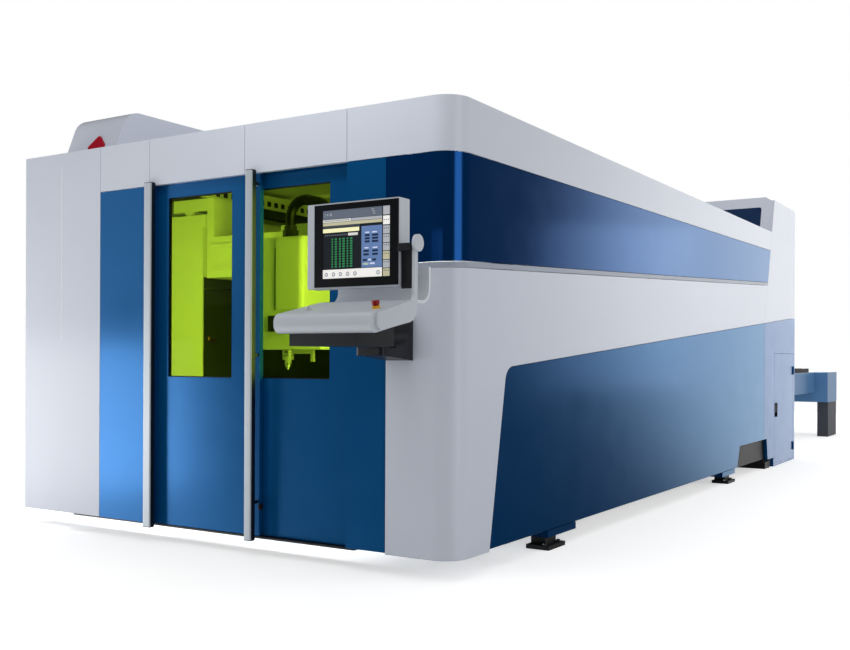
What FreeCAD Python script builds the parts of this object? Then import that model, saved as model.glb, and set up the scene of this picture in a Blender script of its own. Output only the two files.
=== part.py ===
import FreeCAD, Part
import math
import os
import Sketcher

# Flatbed fibre laser cutting machine with a pallet changer, in millimetres.
# Every place below is measured from the corner of the machine where its front
# and its long right side would meet on the floor: x is 0 on the right side and
# negative towards the left, y is 0 on the front and grows towards the back.
# The finished model is moved so that its origin is on the floor, in the middle
# of the whole outline.

SIZES = {
    # enclosure
    "body_width": 2900,
    "skin_bottom": 100,
    "column_bottom": 92,
    "roof_height": 2120,
    "header_height": 244,
    "skin_depth": 28,
    "sheet": 4,
    "seam": 3,
    "hair_gap": 0.3,
    "corner_radius": 120,
    "corner_width": 360,
    "left_corner_radius": 10,
    "corner_reach": 560,
    "right_panel_width": 219,
    "left_panel_width": 402,
    "jamb_lap": 20,
    "column_reach": 300,
    "tube": 80,
    "foot_height": 92,
    # feet and the outriggers above them
    "foot_front": 1030,
    "foot_rear": 4300,
    "foot_plate_length": 200,
    "foot_plate_width": 129,
    "foot_plate_thick": 22,
    "foot_plate_lip": 9,
    "pedestal_length": 130,
    "pedestal_top": 63,
    "outrigger_front": 940,
    "outrigger_rear": 4080,
    "outrigger_length": 350,
    "rear_foot_left": 300,
    "rear_foot_right": 17,
    "rear_foot_length": 170,
    "rear_foot_height": 60,
    # lines that climb along the right side: height at the front and slope
    "header_slope": 0.0135,
    "band_bottom": 1395,
    "band_slope": 0.0481,
    "trim_height": 27,
    "lower_top": 895,
    "lower_slope": 0.0736,
    "lower_bottom": 104,
    "lower_front": 321,
    "lower_lean": 0.192,
    "lower_radius": 80,
    # seam between the machine and the rear portal
    "seam_back": 5375,
    "seam_knee": 1290,
    "seam_lean": 0.3053,
    # foot recess at the rear of the side
    "recess_front": 4500,
    "recess_lean": 73,
    "recess_top": 270,
    "recess_back": 5461,
    "recess_wall": 5470,
    # sliding doors
    "leaf_left_width": 740,
    "leaf_right_width": 620,
    "leaf_lap": 50,
    "leaf_thick": 24,
    "leaf_gap": 4,
    "leaf_foot": 98,
    "sill_bottom": 86,
    "sill_top": 95,
    "leaf_hang": 6,
    "leaf_travel": 620,
    "window_width": 446,
    "window_bottom": 871,
    "window_head": 84,
    "window_start_left": 108,
    "window_start_right": 13,
    "window_radius": 8,
    "seal_width": 5,
    "seal_depth": 14,
    "glass_thick": 6,
    "bar_width": 56,
    "handle_width": 46,
    "bar_depth": 30,
    "bar_bottom": 85,
    "bar_drop": 4,
    "bar_radius": 7,
    "bar_standoff": 5,
    "bar_post_setback": 180,
    "track_height": 116,
    "track_margin": 10,
    "shoe_height": 26,
    # bed, rails and motion
    "bed_front": 1000,
    "bed_length": 4000,
    "bed_left_setback": 450,
    "bed_left_width": 300,
    "bed_right_face": 330,
    "bed_right_width": 200,
    "bed_drop": 122,
    "runway_height": 79,
    "runway_step": 20,
    "bed_plinth": 180,
    "member_depth": 160,
    "member_inset": 100,
    "rail_height": 25,
    "rail_width": 34,
    "gantry_bottom": 1482,
    "gantry_depth": 260,
    "gantry_setback": 10,
    "truck_height": 80,
    "truck_length": 380,
    "head_place": 1580,
    "carriage_width": 420,
    "carriage_bottom": 1180,
    "cover_width": 360,
    "cover_bottom": 1120,
    "cover_drop": 352,
    "cover_corner": 30,
    "plaque_width": 188,
    "plaque_bottom": 1250,
    "plaque_margin": 12,
    "shelf_bottom": 1020,
    "shelf_overhang": 105,
    "head_setback": 100,
    "head_offset": 10,
    "sensor_offset": 171,
    "sensor_size": 18,
    "head_radius": 32,
    "nozzle_tip": 905,
    "nozzle_length": 26,
    "nozzle_step": 12,
    "nozzle_mouth_radius": 6,
    "nozzle_root_radius": 13,
    "nozzle_bore_radius": 1.5,
    # pallets and their tracks
    "pallet_shift": 300,
    "pallet_clear": 1300,
    "pallet_length": 3100,
    "pallet_frame": 60,
    "pallet_height": 78,
    "pallet_in": 1050,
    "pallet_out": 6620,
    "lower_pallet_bottom": 690,
    "upper_pallet_bottom": 782,
    "slat_pitch": 155,
    "slat_thick": 3,
    "tooth_pitch": 148,
    "tooth_height": 14,
    "track_web": 60,
    "track_gap": 7,
    "track_foot": 556,
    "track_head": 810,
    "ledge_width": 30,
    "ledge_thick": 8,
    # rear portal
    "portal_back": 6560,
    "portal_rise": 300,
    "portal_skirt": 83,
    "portal_radius": 60,
    "portal_foot": 2,
    "opening_side": 100,
    "opening_bottom": 540,
    "opening_top": 1010,
    "inset_edge": 110,
    "inset_foot": 40,
    "inset_height": 202,
    "gate_thick": 20,
    "gate_lap": 30,
    "gate_lift": 490,
    "gate_place": 6500,
    "service_front": 5743,
    "service_back": 6484,
    "service_top": 1027,
    "service_bottom": 20,
    "knuckle_radius": 6,
    "knuckle_length": 40,
    "pin_radius": 2.5,
    "latch_width": 100,
    "latch_height": 131,
    "latch_bottom": 447,
    "latch_setback": 12,
    # duct on the roof
    "duct_front": 240,
    "duct_setback": 30,
    "duct_width": 430,
    "duct_lean": 115,
    "duct_radius": 130,
    "lens_place": 287,
    "lens_width": 200,
    "lens_foot": 70,
    "lens_face": 8,
    "lens_height": 95,
    # operator's console
    "console_front": 800,
    "console_left": 330,
    "console_right": 118,
    "console_nose": 1057,
    "console_thick": 78,
    "console_depth": 290,
    "console_rise": 62,
    "nose_radius": 34,
    "drawer_left": 280,
    "drawer_right": 92,
    "drawer_depth": 220,
    "drawer_height": 36,
    "drawer_low": 5,
    "screen_plane": 529,
    "monitor_left": 383,
    "monitor_right": 62,
    "monitor_bottom": 1249,
    "monitor_top": 1590,
    "monitor_depth": 71,
    "monitor_radius": 4,
    "bezel_left": 345,
    "bezel_right": 59,
    "bezel_thick": 5,
    "screen_left": 303,
    "screen_right": 21,
    "screen_bottom": 1289,
    "screen_top": 1560,
    "pivot_height": 1411,
    "pivot_radius": 33,
    "side_arm_thick": 12,
    "side_arm_width": 22,
    "side_arm_top": 1422,
    "spacer_bottom": 1240,
    "spacer_thick": 12,
    "side_arm_reach": 244,
    "side_arm_bend": 70,
    "back_left": 323,
    "back_depth": 118,
    "back_top": 1330,
    "back_thick": 12,
    "back_bend": 60,
    "wedge_left": 302,
    "wedge_right": 20,
    "swivel_x": 272,
    "swivel_y": 190,
    "swivel_radius": 46,
    "spigot_radius": 18,
    "bracket_bottom": 963,
    "bracket_top": 1018,
    "bracket_rib": 8,
    "gusset_top": 1152,
    "gusset_reach": 132,
    "gusset_thick": 24,
    "gusset_bend": 98,
    "bracket_right": 215,
    "arm_top": 1074,
    "stop_x": 75,
    "stop_y": 700,
    "stop_radius": 15,
    "stop_travel": 5,
    "stop_collar_height": 10,
    "key_x": 241,
    # pallet changer
    "changer_clear": 30,
    "changer_length": 600,
    "changer_right": 278,
    "changer_foot": 435,
    "changer_top": 812,
    "leg_width": 130,
    "leg_length": 540,
    "gantry_width": 260,
    "beam_front": 1010,
    "plate_thick": 24,
    "cover_front": 700,
    "rail_thick": 18,
    "hose_radius": 32,
    "hose_bend": 100,
    "hose_run": 80,
    "hose_drop": 232,
    "hose_start": 5,
    "post_place": 5660,
    "web_setback": 200,
    "hood_crown": 35,
    "hood_chamfer": 80,
}

doc = FreeCAD.newDocument("LaserCutter")
sheet = doc.addObject("Spreadsheet::Sheet", "Sizes")
for row, (word, number) in enumerate(SIZES.items(), 1):
    sheet.set(f"A{row}", word)
    sheet.set(f"B{row}", str(number))
    sheet.setAlias(f"B{row}", word)
doc.recompute()


class Size:
    """A length that remembers which cells it was worked out from."""

    def __init__(self, text, number):
        self.text = text
        self.number = number

    def __add__(self, other):
        return combine(self, "+", other)

    def __radd__(self, other):
        return combine(other, "+", self)

    def __sub__(self, other):
        return combine(self, "-", other)

    def __rsub__(self, other):
        return combine(other, "-", self)

    def __mul__(self, other):
        return combine(self, "*", other)

    def __rmul__(self, other):
        return combine(other, "*", self)

    def __truediv__(self, other):
        return combine(self, "/", other)

    def __neg__(self):
        return combine(0, "-", self)


def as_size(value):
    return value if isinstance(value, Size) else Size(str(value), float(value))


def combine(first, sign, second):
    first = as_size(first)
    second = as_size(second)
    numbers = {
        "+": lambda a, b: a + b,
        "-": lambda a, b: a - b,
        "*": lambda a, b: a * b,
        "/": lambda a, b: a / b,
    }
    return Size(f"({first.text} {sign} {second.text})", numbers[sign](first.number, second.number))


class Sheet:
    """The cells of the sheet as Size values, by alias."""

    def __getattr__(self, word):
        return Size(f"Sizes.{word}", float(SIZES[word]))


S = Sheet()

# Places worked out from the cells.
LEFT = -S.body_width
CORNER = -S.corner_width
PANEL_RIGHT = CORNER - S.right_panel_width
LEAF_RIGHT_END = PANEL_RIGHT + 19
LEAF_RIGHT_START = LEAF_RIGHT_END - S.leaf_right_width
LEAF_LEFT_END = LEAF_RIGHT_START + S.leaf_lap
LEAF_LEFT_START = LEAF_LEFT_END - S.leaf_left_width
JAMB = LEAF_LEFT_START + S.jamb_lap
COLUMN = JAMB - S.left_panel_width
BACK = S.skin_depth
LEAF_LEFT_FACE = BACK + S.leaf_gap
LEAF_RIGHT_FACE = LEAF_LEFT_FACE + S.leaf_thick + S.leaf_gap
TRACK_BACK = LEAF_RIGHT_FACE + S.leaf_thick + 2 * S.leaf_gap
FRAME_TOP = S.roof_height - S.skin_depth
FRAME_BEAM = FRAME_TOP - S.tube
HEADER_BOTTOM = S.roof_height - S.header_height
PORTAL_TOP = S.roof_height + S.portal_rise
INSET_BOTTOM = S.roof_height + S.inset_foot
INSET_TOP = INSET_BOTTOM + S.inset_height
TRACK_BOTTOM = FRAME_BEAM - S.track_height
TRACK_START = LEAF_LEFT_START - S.leaf_travel - S.track_margin
LEAF_TOP = TRACK_BOTTOM - S.leaf_hang
BAR_TOP = LEAF_TOP - S.bar_drop
BED_TOP = FRAME_BEAM - S.bed_drop
BED_LEFT_FACE = LEFT + S.bed_left_setback
COVER_TOP = FRAME_BEAM - S.cover_drop
POST_FACE = -S.skin_depth
POST_LEFT_FACE = LEFT + S.skin_depth
CENTRE = (LEFT + S.pallet_shift) / 2
PALLET_WIDTH = S.body_width - S.pallet_clear
PALLET_RIGHT = CENTRE + PALLET_WIDTH / 2
PALLET_LEFT = CENTRE - PALLET_WIDTH / 2
BED_BACK = S.bed_front + S.bed_length
OPENING_RIGHT = PALLET_RIGHT + S.opening_side
OPENING_LEFT = PALLET_LEFT - S.opening_side
DISC_FACE = S.console_right + 2 * S.side_arm_thick
CHANGER_BACK = S.pallet_out + S.pallet_length + S.changer_clear
CHANGER_END = CHANGER_BACK + S.changer_length
REAR_POST = S.seam_back - S.tube - 15

# The origin is in the middle of the outline, on the floor.
ORIGIN_X = (S.body_width - DISC_FACE) / 2
ORIGIN_Y = (S.console_front - CHANGER_END) / 2

made = []


def bind(owner, prop, size):
    owner.setExpression(prop, as_size(size).text)


def set_place(owner, x, y, z):
    bind(owner, "Placement.Base.x", x)
    bind(owner, "Placement.Base.y", y)
    bind(owner, "Placement.Base.z", z)


def keep(part, label):
    """Name a finished piece and move it into the model's frame."""
    part.Label = label
    start = starts.get(part.Name, (0, 0, 0))
    set_place(part, as_size(start[0]) + ORIGIN_X, as_size(start[1]) + ORIGIN_Y, start[2])
    made.append(part)
    return part


starts = {}


def block(x, y, z):
    """A box between two places along each axis."""
    box = doc.addObject("Part::Box", "Block")
    bind(box, "Length", as_size(x[1]) - x[0])
    bind(box, "Width", as_size(y[1]) - y[0])
    bind(box, "Height", as_size(z[1]) - z[0])
    set_place(box, x[0], y[0], z[0])
    starts[box.Name] = (x[0], y[0], z[0])
    return box


TURNS = {
    "X": FreeCAD.Rotation(FreeCAD.Vector(0, 1, 0), 90),
    "Y": FreeCAD.Rotation(FreeCAD.Vector(1, 0, 0), -90),
    "Z": FreeCAD.Rotation(),
}


def rod(centre, radius, length, along="Z"):
    """A cylinder that starts at a point and runs along an axis."""
    cylinder = doc.addObject("Part::Cylinder", "Rod")
    cylinder.Placement = FreeCAD.Placement(FreeCAD.Vector(), TURNS[along])
    bind(cylinder, "Radius", radius)
    bind(cylinder, "Height", length)
    set_place(cylinder, *centre)
    starts[cylinder.Name] = centre
    return cylinder


def fuse(*parts):
    joined = doc.addObject("Part::MultiFuse", "Joined")
    joined.Shapes = list(parts)
    joined.Refine = True
    return joined


def cut(base, *tools):
    result = doc.addObject("Part::Cut", "Trimmed")
    result.Base = base
    result.Tool = tools[0] if len(tools) == 1 else fuse(*tools)
    result.Refine = True
    return result


def group(*parts):
    """Separate solids that share one node."""
    several = doc.addObject("Part::Compound", "Several")
    several.Links = list(parts)
    return several


def new_body():
    return doc.addObject("PartDesign::Body", "Body")


def sketch_on(body, plane, points, offset=0):
    """A closed outline on one of the body's own planes, each corner tied to the sheet."""
    support = next(f for f in body.Origin.OriginFeatures if f.Role == plane + "_Plane")
    sketch = body.newObject("Sketcher::SketchObject", "Outline")
    sketch.AttachmentSupport = [(support, "")]
    sketch.MapMode = "FlatFace"
    bind(sketch, "AttachmentOffset.Base.z", offset)
    corners = [(as_size(u), as_size(v)) for u, v in points]
    count = len(corners)
    for i, (u, v) in enumerate(corners):
        next_u, next_v = corners[(i + 1) % count]
        start = FreeCAD.Vector(u.number, v.number, 0)
        end = FreeCAD.Vector(next_u.number, next_v.number, 0)
        sketch.addGeometry(Part.LineSegment(start, end), False)
    rules = [Sketcher.Constraint("Coincident", i, 2, (i + 1) % count, 1) for i in range(count)]
    for i, (u, v) in enumerate(corners):
        rules.append(Sketcher.Constraint("DistanceX", -1, 1, i, 1, u.number))
        rules.append(Sketcher.Constraint("DistanceY", -1, 1, i, 1, v.number))
    sketch.addConstraint(rules)
    for i, (u, v) in enumerate(corners):
        bind(sketch, f"Constraints[{count + 2 * i}]", u)
        bind(sketch, f"Constraints[{count + 2 * i + 1}]", v)
    return sketch


def pad(body, plane, points, length, offset=0, backwards=False):
    feature = body.newObject("PartDesign::Pad", "Pad")
    feature.Profile = sketch_on(body, plane, points, offset)
    bind(feature, "Length", length)
    feature.Reversed = backwards
    doc.recompute()
    return feature


def pocket(body, plane, points, length, offset=0, backwards=False):
    """Cut an outline out of the body; it must take material away."""
    before = body.Shape.Volume
    feature = body.newObject("PartDesign::Pocket", "Pocket")
    feature.Profile = sketch_on(body, plane, points, offset)
    bind(feature, "Length", length)
    feature.Reversed = backwards
    doc.recompute()
    if body.Shape.Volume > before - 1:
        raise ValueError("a pocket in " + body.Label + " cuts nothing")
    return feature


def fillet(body, radius, wanted):
    """Round the edges whose middle the test accepts."""
    base = body.Tip
    names = []
    for number, edge in enumerate(base.Shape.Edges, 1):
        if wanted(edge.CenterOfMass, edge):
            names.append(f"Edge{number}")
    if not names:
        raise ValueError("no edge to round in " + body.Label)
    feature = body.newObject("PartDesign::Fillet", "Fillet")
    feature.Base = (base, names)
    bind(feature, "Radius", radius)
    doc.recompute()
    return feature


def hollow(body, wanted):
    """Turn a solid into folded sheet, open at the faces that the test accepts."""
    base = body.Tip
    names = []
    for number, face in enumerate(base.Shape.Faces, 1):
        if wanted(face.CenterOfMass):
            names.append(f"Face{number}")
    feature = body.newObject("PartDesign::Thickness", "Folded")
    feature.Base = (base, names)
    bind(feature, "Value", S.sheet)
    feature.Reversed = True
    feature.Mode = 0
    feature.Join = 1
    doc.recompute()
    return feature


def near(value, size):
    return abs(value - as_size(size).number) < 0.05


def is_upright(edge):
    return abs(abs(edge.tangentAt(edge.FirstParameter).z) - 1) < 1e-6


def runs_across(edge):
    return abs(edge.tangentAt(edge.FirstParameter).x) > 0.99


def front_tray(label, points, face=0):
    """A folded sheet panel in the front plane."""
    body = new_body()
    pad(body, "XZ", points, S.skin_depth, -as_size(face), backwards=True)
    hollow(body, lambda c: near(c.y, as_size(face) + S.skin_depth))
    return keep(body, label) if label else body


def side_tray(label, points, rounding=None):
    """A folded sheet panel in the plane of the right side."""
    body = new_body()
    pad(body, "YZ", points, S.skin_depth, 0, backwards=True)
    if rounding:
        fillet(body, *rounding)
    hollow(body, lambda c: near(c.x, -S.skin_depth))
    return keep(body, label) if label else body


def rectangle(u, v):
    return [(u[0], v[0]), (u[1], v[0]), (u[1], v[1]), (u[0], v[1])]


def on_seam(height, slope, gap=0):
    """Where a climbing line meets the leaning seam of the rear portal."""
    height = as_size(height)
    y = (S.seam_back + (height - S.seam_knee) * S.seam_lean) / (1 - slope * S.seam_lean)
    return (y - gap, height + slope * y)


def header_line(y):
    return (y, HEADER_BOTTOM + S.header_slope * y)


def band_line(y):
    return (y, S.band_bottom + S.band_slope * y)


def trim_line(y):
    return (y, S.band_bottom - S.trim_height + S.band_slope * y)


def lower_line(y):
    return (y, S.lower_top + S.lower_slope * y)


def lower_corner(gap):
    """The sharp top front corner of the blue lower panel, moved out by a gap."""
    rise = S.lower_top + gap - S.lower_bottom
    y = (S.lower_front - gap + S.lower_lean * rise) / (1 - S.lower_lean * S.lower_slope)
    return (y, S.lower_top + gap + S.lower_slope * y)


def make_front_skins():
    # The white column at the left is one folded sheet that turns onto the left side.
    body = new_body()
    inner = S.sheet
    profile = [
        (COLUMN - S.seam, 0),
        (LEFT, 0),
        (LEFT, S.column_reach),
        (LEFT + S.skin_depth, S.column_reach),
        (LEFT + S.skin_depth, S.column_reach - inner),
        (LEFT + inner, S.column_reach - inner),
        (LEFT + inner, inner),
        (COLUMN - S.seam - inner, inner),
        (COLUMN - S.seam - inner, S.skin_depth),
        (COLUMN - S.seam, S.skin_depth),
    ]
    pad(body, "XY", profile, S.roof_height - S.skin_bottom, S.skin_bottom)
    fillet(body, S.left_corner_radius, lambda c, e: near(c.x, LEFT) and near(c.y, 0) and is_upright(e))
    fillet(
        body,
        S.left_corner_radius - inner,
        lambda c, e: near(c.x, LEFT + inner) and near(c.y, inner) and is_upright(e),
    )
    keep(body, "front_column")

    front_tray("front_panel_left", rectangle((COLUMN, JAMB), (S.skin_bottom, HEADER_BOTTOM - S.seam)))
    right = (PANEL_RIGHT, CORNER - S.seam)
    front_tray("front_panel_right", rectangle(right, (S.skin_bottom, HEADER_BOTTOM - S.seam)))

    # Three header panels stand between the column and the corner piece.
    seams = [COLUMN, LEAF_LEFT_START, LEAF_LEFT_END - 74, PANEL_RIGHT]
    panels = []
    for start, end in zip(seams, seams[1:]):
        outline = rectangle((start, end - S.seam), (HEADER_BOTTOM, S.roof_height))
        panels.append(front_tray(None, outline))
    keep(group(*panels), "header_panels")


def wrapped_skin(label, front_end, bottom, top, side_reach=S.corner_reach):
    """A sheet bent round the front right corner, with a return at both ends."""
    body = new_body()
    inner = S.sheet
    profile = [
        (front_end, 0),
        (0, 0),
        (0, side_reach),
        (-S.skin_depth, side_reach),
        (-S.skin_depth, side_reach - inner),
        (-inner, side_reach - inner),
        (-inner, inner),
        (front_end + inner, inner),
        (front_end + inner, S.skin_depth),
        (front_end, S.skin_depth),
    ]
    body.Label = label
    pad(body, "XY", profile, top - bottom, bottom)
    fillet(body, S.corner_radius, lambda c, e: near(c.x, 0) and near(c.y, 0) and is_upright(e))
    fillet(
        body,
        S.corner_radius - inner,
        lambda c, e: near(c.x, -inner) and near(c.y, inner) and is_upright(e),
    )
    return body


def trim_side(body, points):
    """Cut a skin to an outline seen from the right."""
    pocket(body, "YZ", points, S.body_width, 1, backwards=False)


def make_corner_skins():
    reach = S.corner_reach
    over = reach + S.sheet
    # Header over the corner.
    body = wrapped_skin("header_corner", PANEL_RIGHT, HEADER_BOTTOM, S.roof_height)
    low = HEADER_BOTTOM - 10
    trim_side(body, [(-1, low), (over, low), header_line(over), header_line(-1)])
    keep(body, "header_corner")

    # Glossy blue band under the header.
    top = HEADER_BOTTOM + S.header_slope * over
    body = wrapped_skin("band_corner", CORNER, S.band_bottom, top)
    trim_side(body, [(-1, S.band_bottom - 10), (over, S.band_bottom - 10), band_line(over), band_line(-1)])
    high = [(y, z - S.seam) for y, z in (header_line(over), header_line(-1))]
    trim_side(body, high + [(-1, top + 10), (over, top + 10)])
    keep(body, "band_corner")

    # Silver column below, cut back to the leaning edge of the blue lower panel.
    top = S.band_bottom - S.trim_height + S.band_slope * over
    body = wrapped_skin("corner_column", CORNER, S.column_bottom, top)
    high = [(y, z - S.seam) for y, z in (trim_line(over), trim_line(-1))]
    trim_side(body, high + [(-1, top + 10), (over, top + 10)])
    corner = lower_corner(S.seam)
    foot = (S.lower_front - S.seam - S.lower_lean * 20, S.lower_bottom - 20)
    side = (over, S.lower_top + S.seam + S.lower_slope * over)
    trim_side(body, [foot, corner, side, (over, S.lower_bottom - 20)])
    fillet(body, S.lower_radius, lambda c, e: near(c.y, corner[0]) and near(c.z, corner[1]))
    keep(body, "corner_column")


def make_trim_strip():
    # One thin strip runs round the corner and along the side under the blue band.
    reach = S.seam_back + S.corner_reach
    body = wrapped_skin("trim_strip", CORNER, S.band_bottom - S.trim_height, band_line(reach)[1], reach)
    low = S.band_bottom - S.trim_height - 10
    trim_side(body, [(-1, low), (reach + 9, low), trim_line(reach + 9), trim_line(-1)])
    high = [(y, z - S.seam) for y, z in (band_line(reach + 9), band_line(-1))]
    top = band_line(reach)[1] + 10
    trim_side(body, high + [(-1, top), (reach + 9, top)])
    ends = [
        on_seam(S.band_bottom - 100, S.band_slope, S.seam),
        on_seam(S.band_bottom + 60, S.band_slope, S.seam),
    ]
    trim_side(body, ends + [(reach + 9, ends[1][1]), (reach + 9, ends[0][1])])
    keep(body, "trim_strip")


def make_side_skins():
    start = S.corner_reach
    gap = S.seam
    top = S.roof_height
    back = on_seam(HEADER_BOTTOM, S.header_slope, gap)
    outline = [header_line(start), back, (on_seam(top, 0, gap)[0], top), (start, top)]
    side_tray("side_header", outline)

    back_low = on_seam(S.band_bottom, S.band_slope, gap)
    back_high = on_seam(HEADER_BOTTOM - gap, S.header_slope, gap)
    high = (start, HEADER_BOTTOM - gap + S.header_slope * start)
    side_tray("side_band", [band_line(start), back_low, back_high, high])

    low = (start, S.lower_top + gap + S.lower_slope * start)
    knee = (S.seam_back - gap, S.lower_top + gap + S.lower_slope * S.seam_back)
    back_high = on_seam(S.band_bottom - S.trim_height - gap, S.band_slope, gap)
    high = (start, S.band_bottom - S.trim_height - gap + S.band_slope * start)
    side_tray("side_panel_middle", [low, knee, back_high, high])

    corner = lower_corner(0)
    outline = [
        (S.lower_front, S.lower_bottom),
        (S.recess_front, S.lower_bottom),
        (S.recess_front + S.recess_lean, S.recess_top),
        (S.seam_back - gap, S.recess_top),
        (S.seam_back - gap, S.lower_top + S.lower_slope * S.seam_back),
        corner,
    ]
    rounding = (S.lower_radius, lambda c, e: near(c.y, corner[0]) and near(c.z, corner[1]))
    side_tray("side_panel_lower", outline, rounding)


def left_tray(y, z):
    body = new_body()
    pad(body, "YZ", rectangle(y, z), S.skin_depth, LEFT)
    hollow(body, lambda c: near(c.x, LEFT + S.skin_depth))
    return body


def make_left_and_roof():
    gap = S.seam
    middle = (S.column_reach + S.seam_back) / 2
    tall = (S.skin_bottom, S.roof_height)
    panels = [
        left_tray((S.column_reach + gap, middle), tall),
        left_tray((middle + gap, S.seam_back), tall),
        left_tray((S.seam_back + gap, S.portal_back - S.skin_depth - gap), (S.portal_foot, S.roof_height)),
    ]
    keep(group(*panels), "left_side_panels")

    # Roof panels lie inside the upright skins.
    inside = (LEFT + S.skin_depth, -S.skin_depth)
    first = S.skin_depth
    last = S.seam_back + (FRAME_TOP - S.seam_knee) * S.seam_lean - gap
    step = (last - first) / 3
    panels = []
    for number in range(3):
        body = new_body()
        y = (first + number * step + gap, first + (number + 1) * step)
        pad(body, "XY", rectangle(inside, y), S.skin_depth, FRAME_TOP)
        if number == 0:
            fillet(
                body,
                S.corner_radius - S.skin_depth,
                lambda c, e: near(c.x, -S.skin_depth) and near(c.y, y[0]) and is_upright(e),
            )
        hollow(body, lambda c: near(c.z, FRAME_TOP))
        panels.append(body)
    keep(group(*panels), "roof_panels")


def make_duct():
    # Duct along the left edge of the roof, with a leaning rounded nose.
    body = new_body()
    outline = [
        (S.duct_front, S.roof_height),
        on_seam(S.roof_height, 0, S.seam),
        on_seam(PORTAL_TOP, 0, S.seam),
        (S.duct_front + S.duct_lean, PORTAL_TOP),
    ]
    pad(body, "YZ", outline, S.duct_width, LEFT + S.duct_setback)
    nose = S.duct_front + S.duct_lean
    fillet(body, S.duct_radius, lambda c, e: near(c.y, nose) and near(c.z, PORTAL_TOP))
    hollow(body, lambda c: near(c.z, S.roof_height))
    keep(body, "roof_duct")

    # Triangular red lens on the leaning nose.
    lens = new_body()
    middle = LEFT + S.lens_place
    low = S.roof_height + S.lens_foot
    high = low + S.lens_height
    outline = [(middle - S.lens_width / 2, low), (middle + S.lens_width / 2, low), (middle, high)]
    pad(lens, "XZ", outline, S.duct_lean + 80, -S.duct_front + 40, backwards=True)
    fillet(lens, S.lens_width / 10, lambda c, e: abs(e.tangentAt(e.FirstParameter).y) > 0.99)
    lean = S.duct_lean / S.portal_rise
    near_line = [(S.duct_front - S.lens_face + lean * (z - S.roof_height), z) for z in (low - 9, high + 9)]
    far_line = [(S.duct_front + lean * (z - S.roof_height), z) for z in (high + 9, low - 9)]
    before = S.duct_front - 60
    behind = S.duct_front + S.duct_lean + 60
    pocket(lens, "YZ", near_line + [(before, high + 9), (before, low - 9)], S.body_width, 0)
    pocket(lens, "YZ", far_line + [(behind, low - 9), (behind, high + 9)], S.body_width, 0)
    keep(lens, "signal_lens")


def make_leaf(start, end, face, window_start):
    """One sliding leaf: a flat panel with a window opening."""
    body = new_body()
    pad(body, "XZ", rectangle((start, end), (S.leaf_foot, LEAF_TOP)), S.leaf_thick, -face, backwards=True)
    window = (window_start, window_start + S.window_width)
    height = (S.window_bottom, LEAF_TOP - S.window_head)
    pocket(body, "XZ", rectangle(window, height), S.leaf_thick + 2, -face + 1)
    fillet(
        body,
        S.window_radius,
        lambda c, e: abs(e.tangentAt(e.FirstParameter).y) > 0.99
        and (near(c.x, window[0]) or near(c.x, window[1]))
        and (near(c.z, height[0]) or near(c.z, height[1])),
    )
    return body, window, height


def make_window(side, window, height, face):
    """A pane in a rubber frame that fills the opening of a leaf."""
    seal = new_body()
    depth = (face + (S.leaf_thick - S.seal_depth) / 2, S.seal_depth)
    pad(seal, "XZ", rectangle(window, height), depth[1], -depth[0], backwards=True)
    inner_x = (window[0] + S.seal_width, window[1] - S.seal_width)
    inner_z = (height[0] + S.seal_width, height[1] - S.seal_width)
    fillet(seal, S.window_radius, lambda c, e: abs(e.tangentAt(e.FirstParameter).y) > 0.99)
    pocket(seal, "XZ", rectangle(inner_x, inner_z), S.seal_depth + 2, -depth[0] + 1)
    keep(seal, "window_seal_" + side)
    middle = face + (S.leaf_thick - S.glass_thick) / 2
    pane = block(inner_x, (middle, middle + S.glass_thick), inner_z)
    keep(pane, "window_" + side)


def make_hangers(start, end, face):
    """Two hangers with sliding shoes that carry a leaf in the track."""
    middle = face + S.leaf_thick / 2
    low = TRACK_BOTTOM + 10 + S.hair_gap
    hangers = []
    for place in (start + 90, end - 90):
        plate = block((place - 30, place + 30), (middle - 3, middle + 3), (LEAF_TOP, low))
        shoe = block((place - 30, place + 30), (middle - 9, middle + 9), (low, low + S.shoe_height))
        hangers.append(fuse(plate, shoe))
    return hangers


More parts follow.
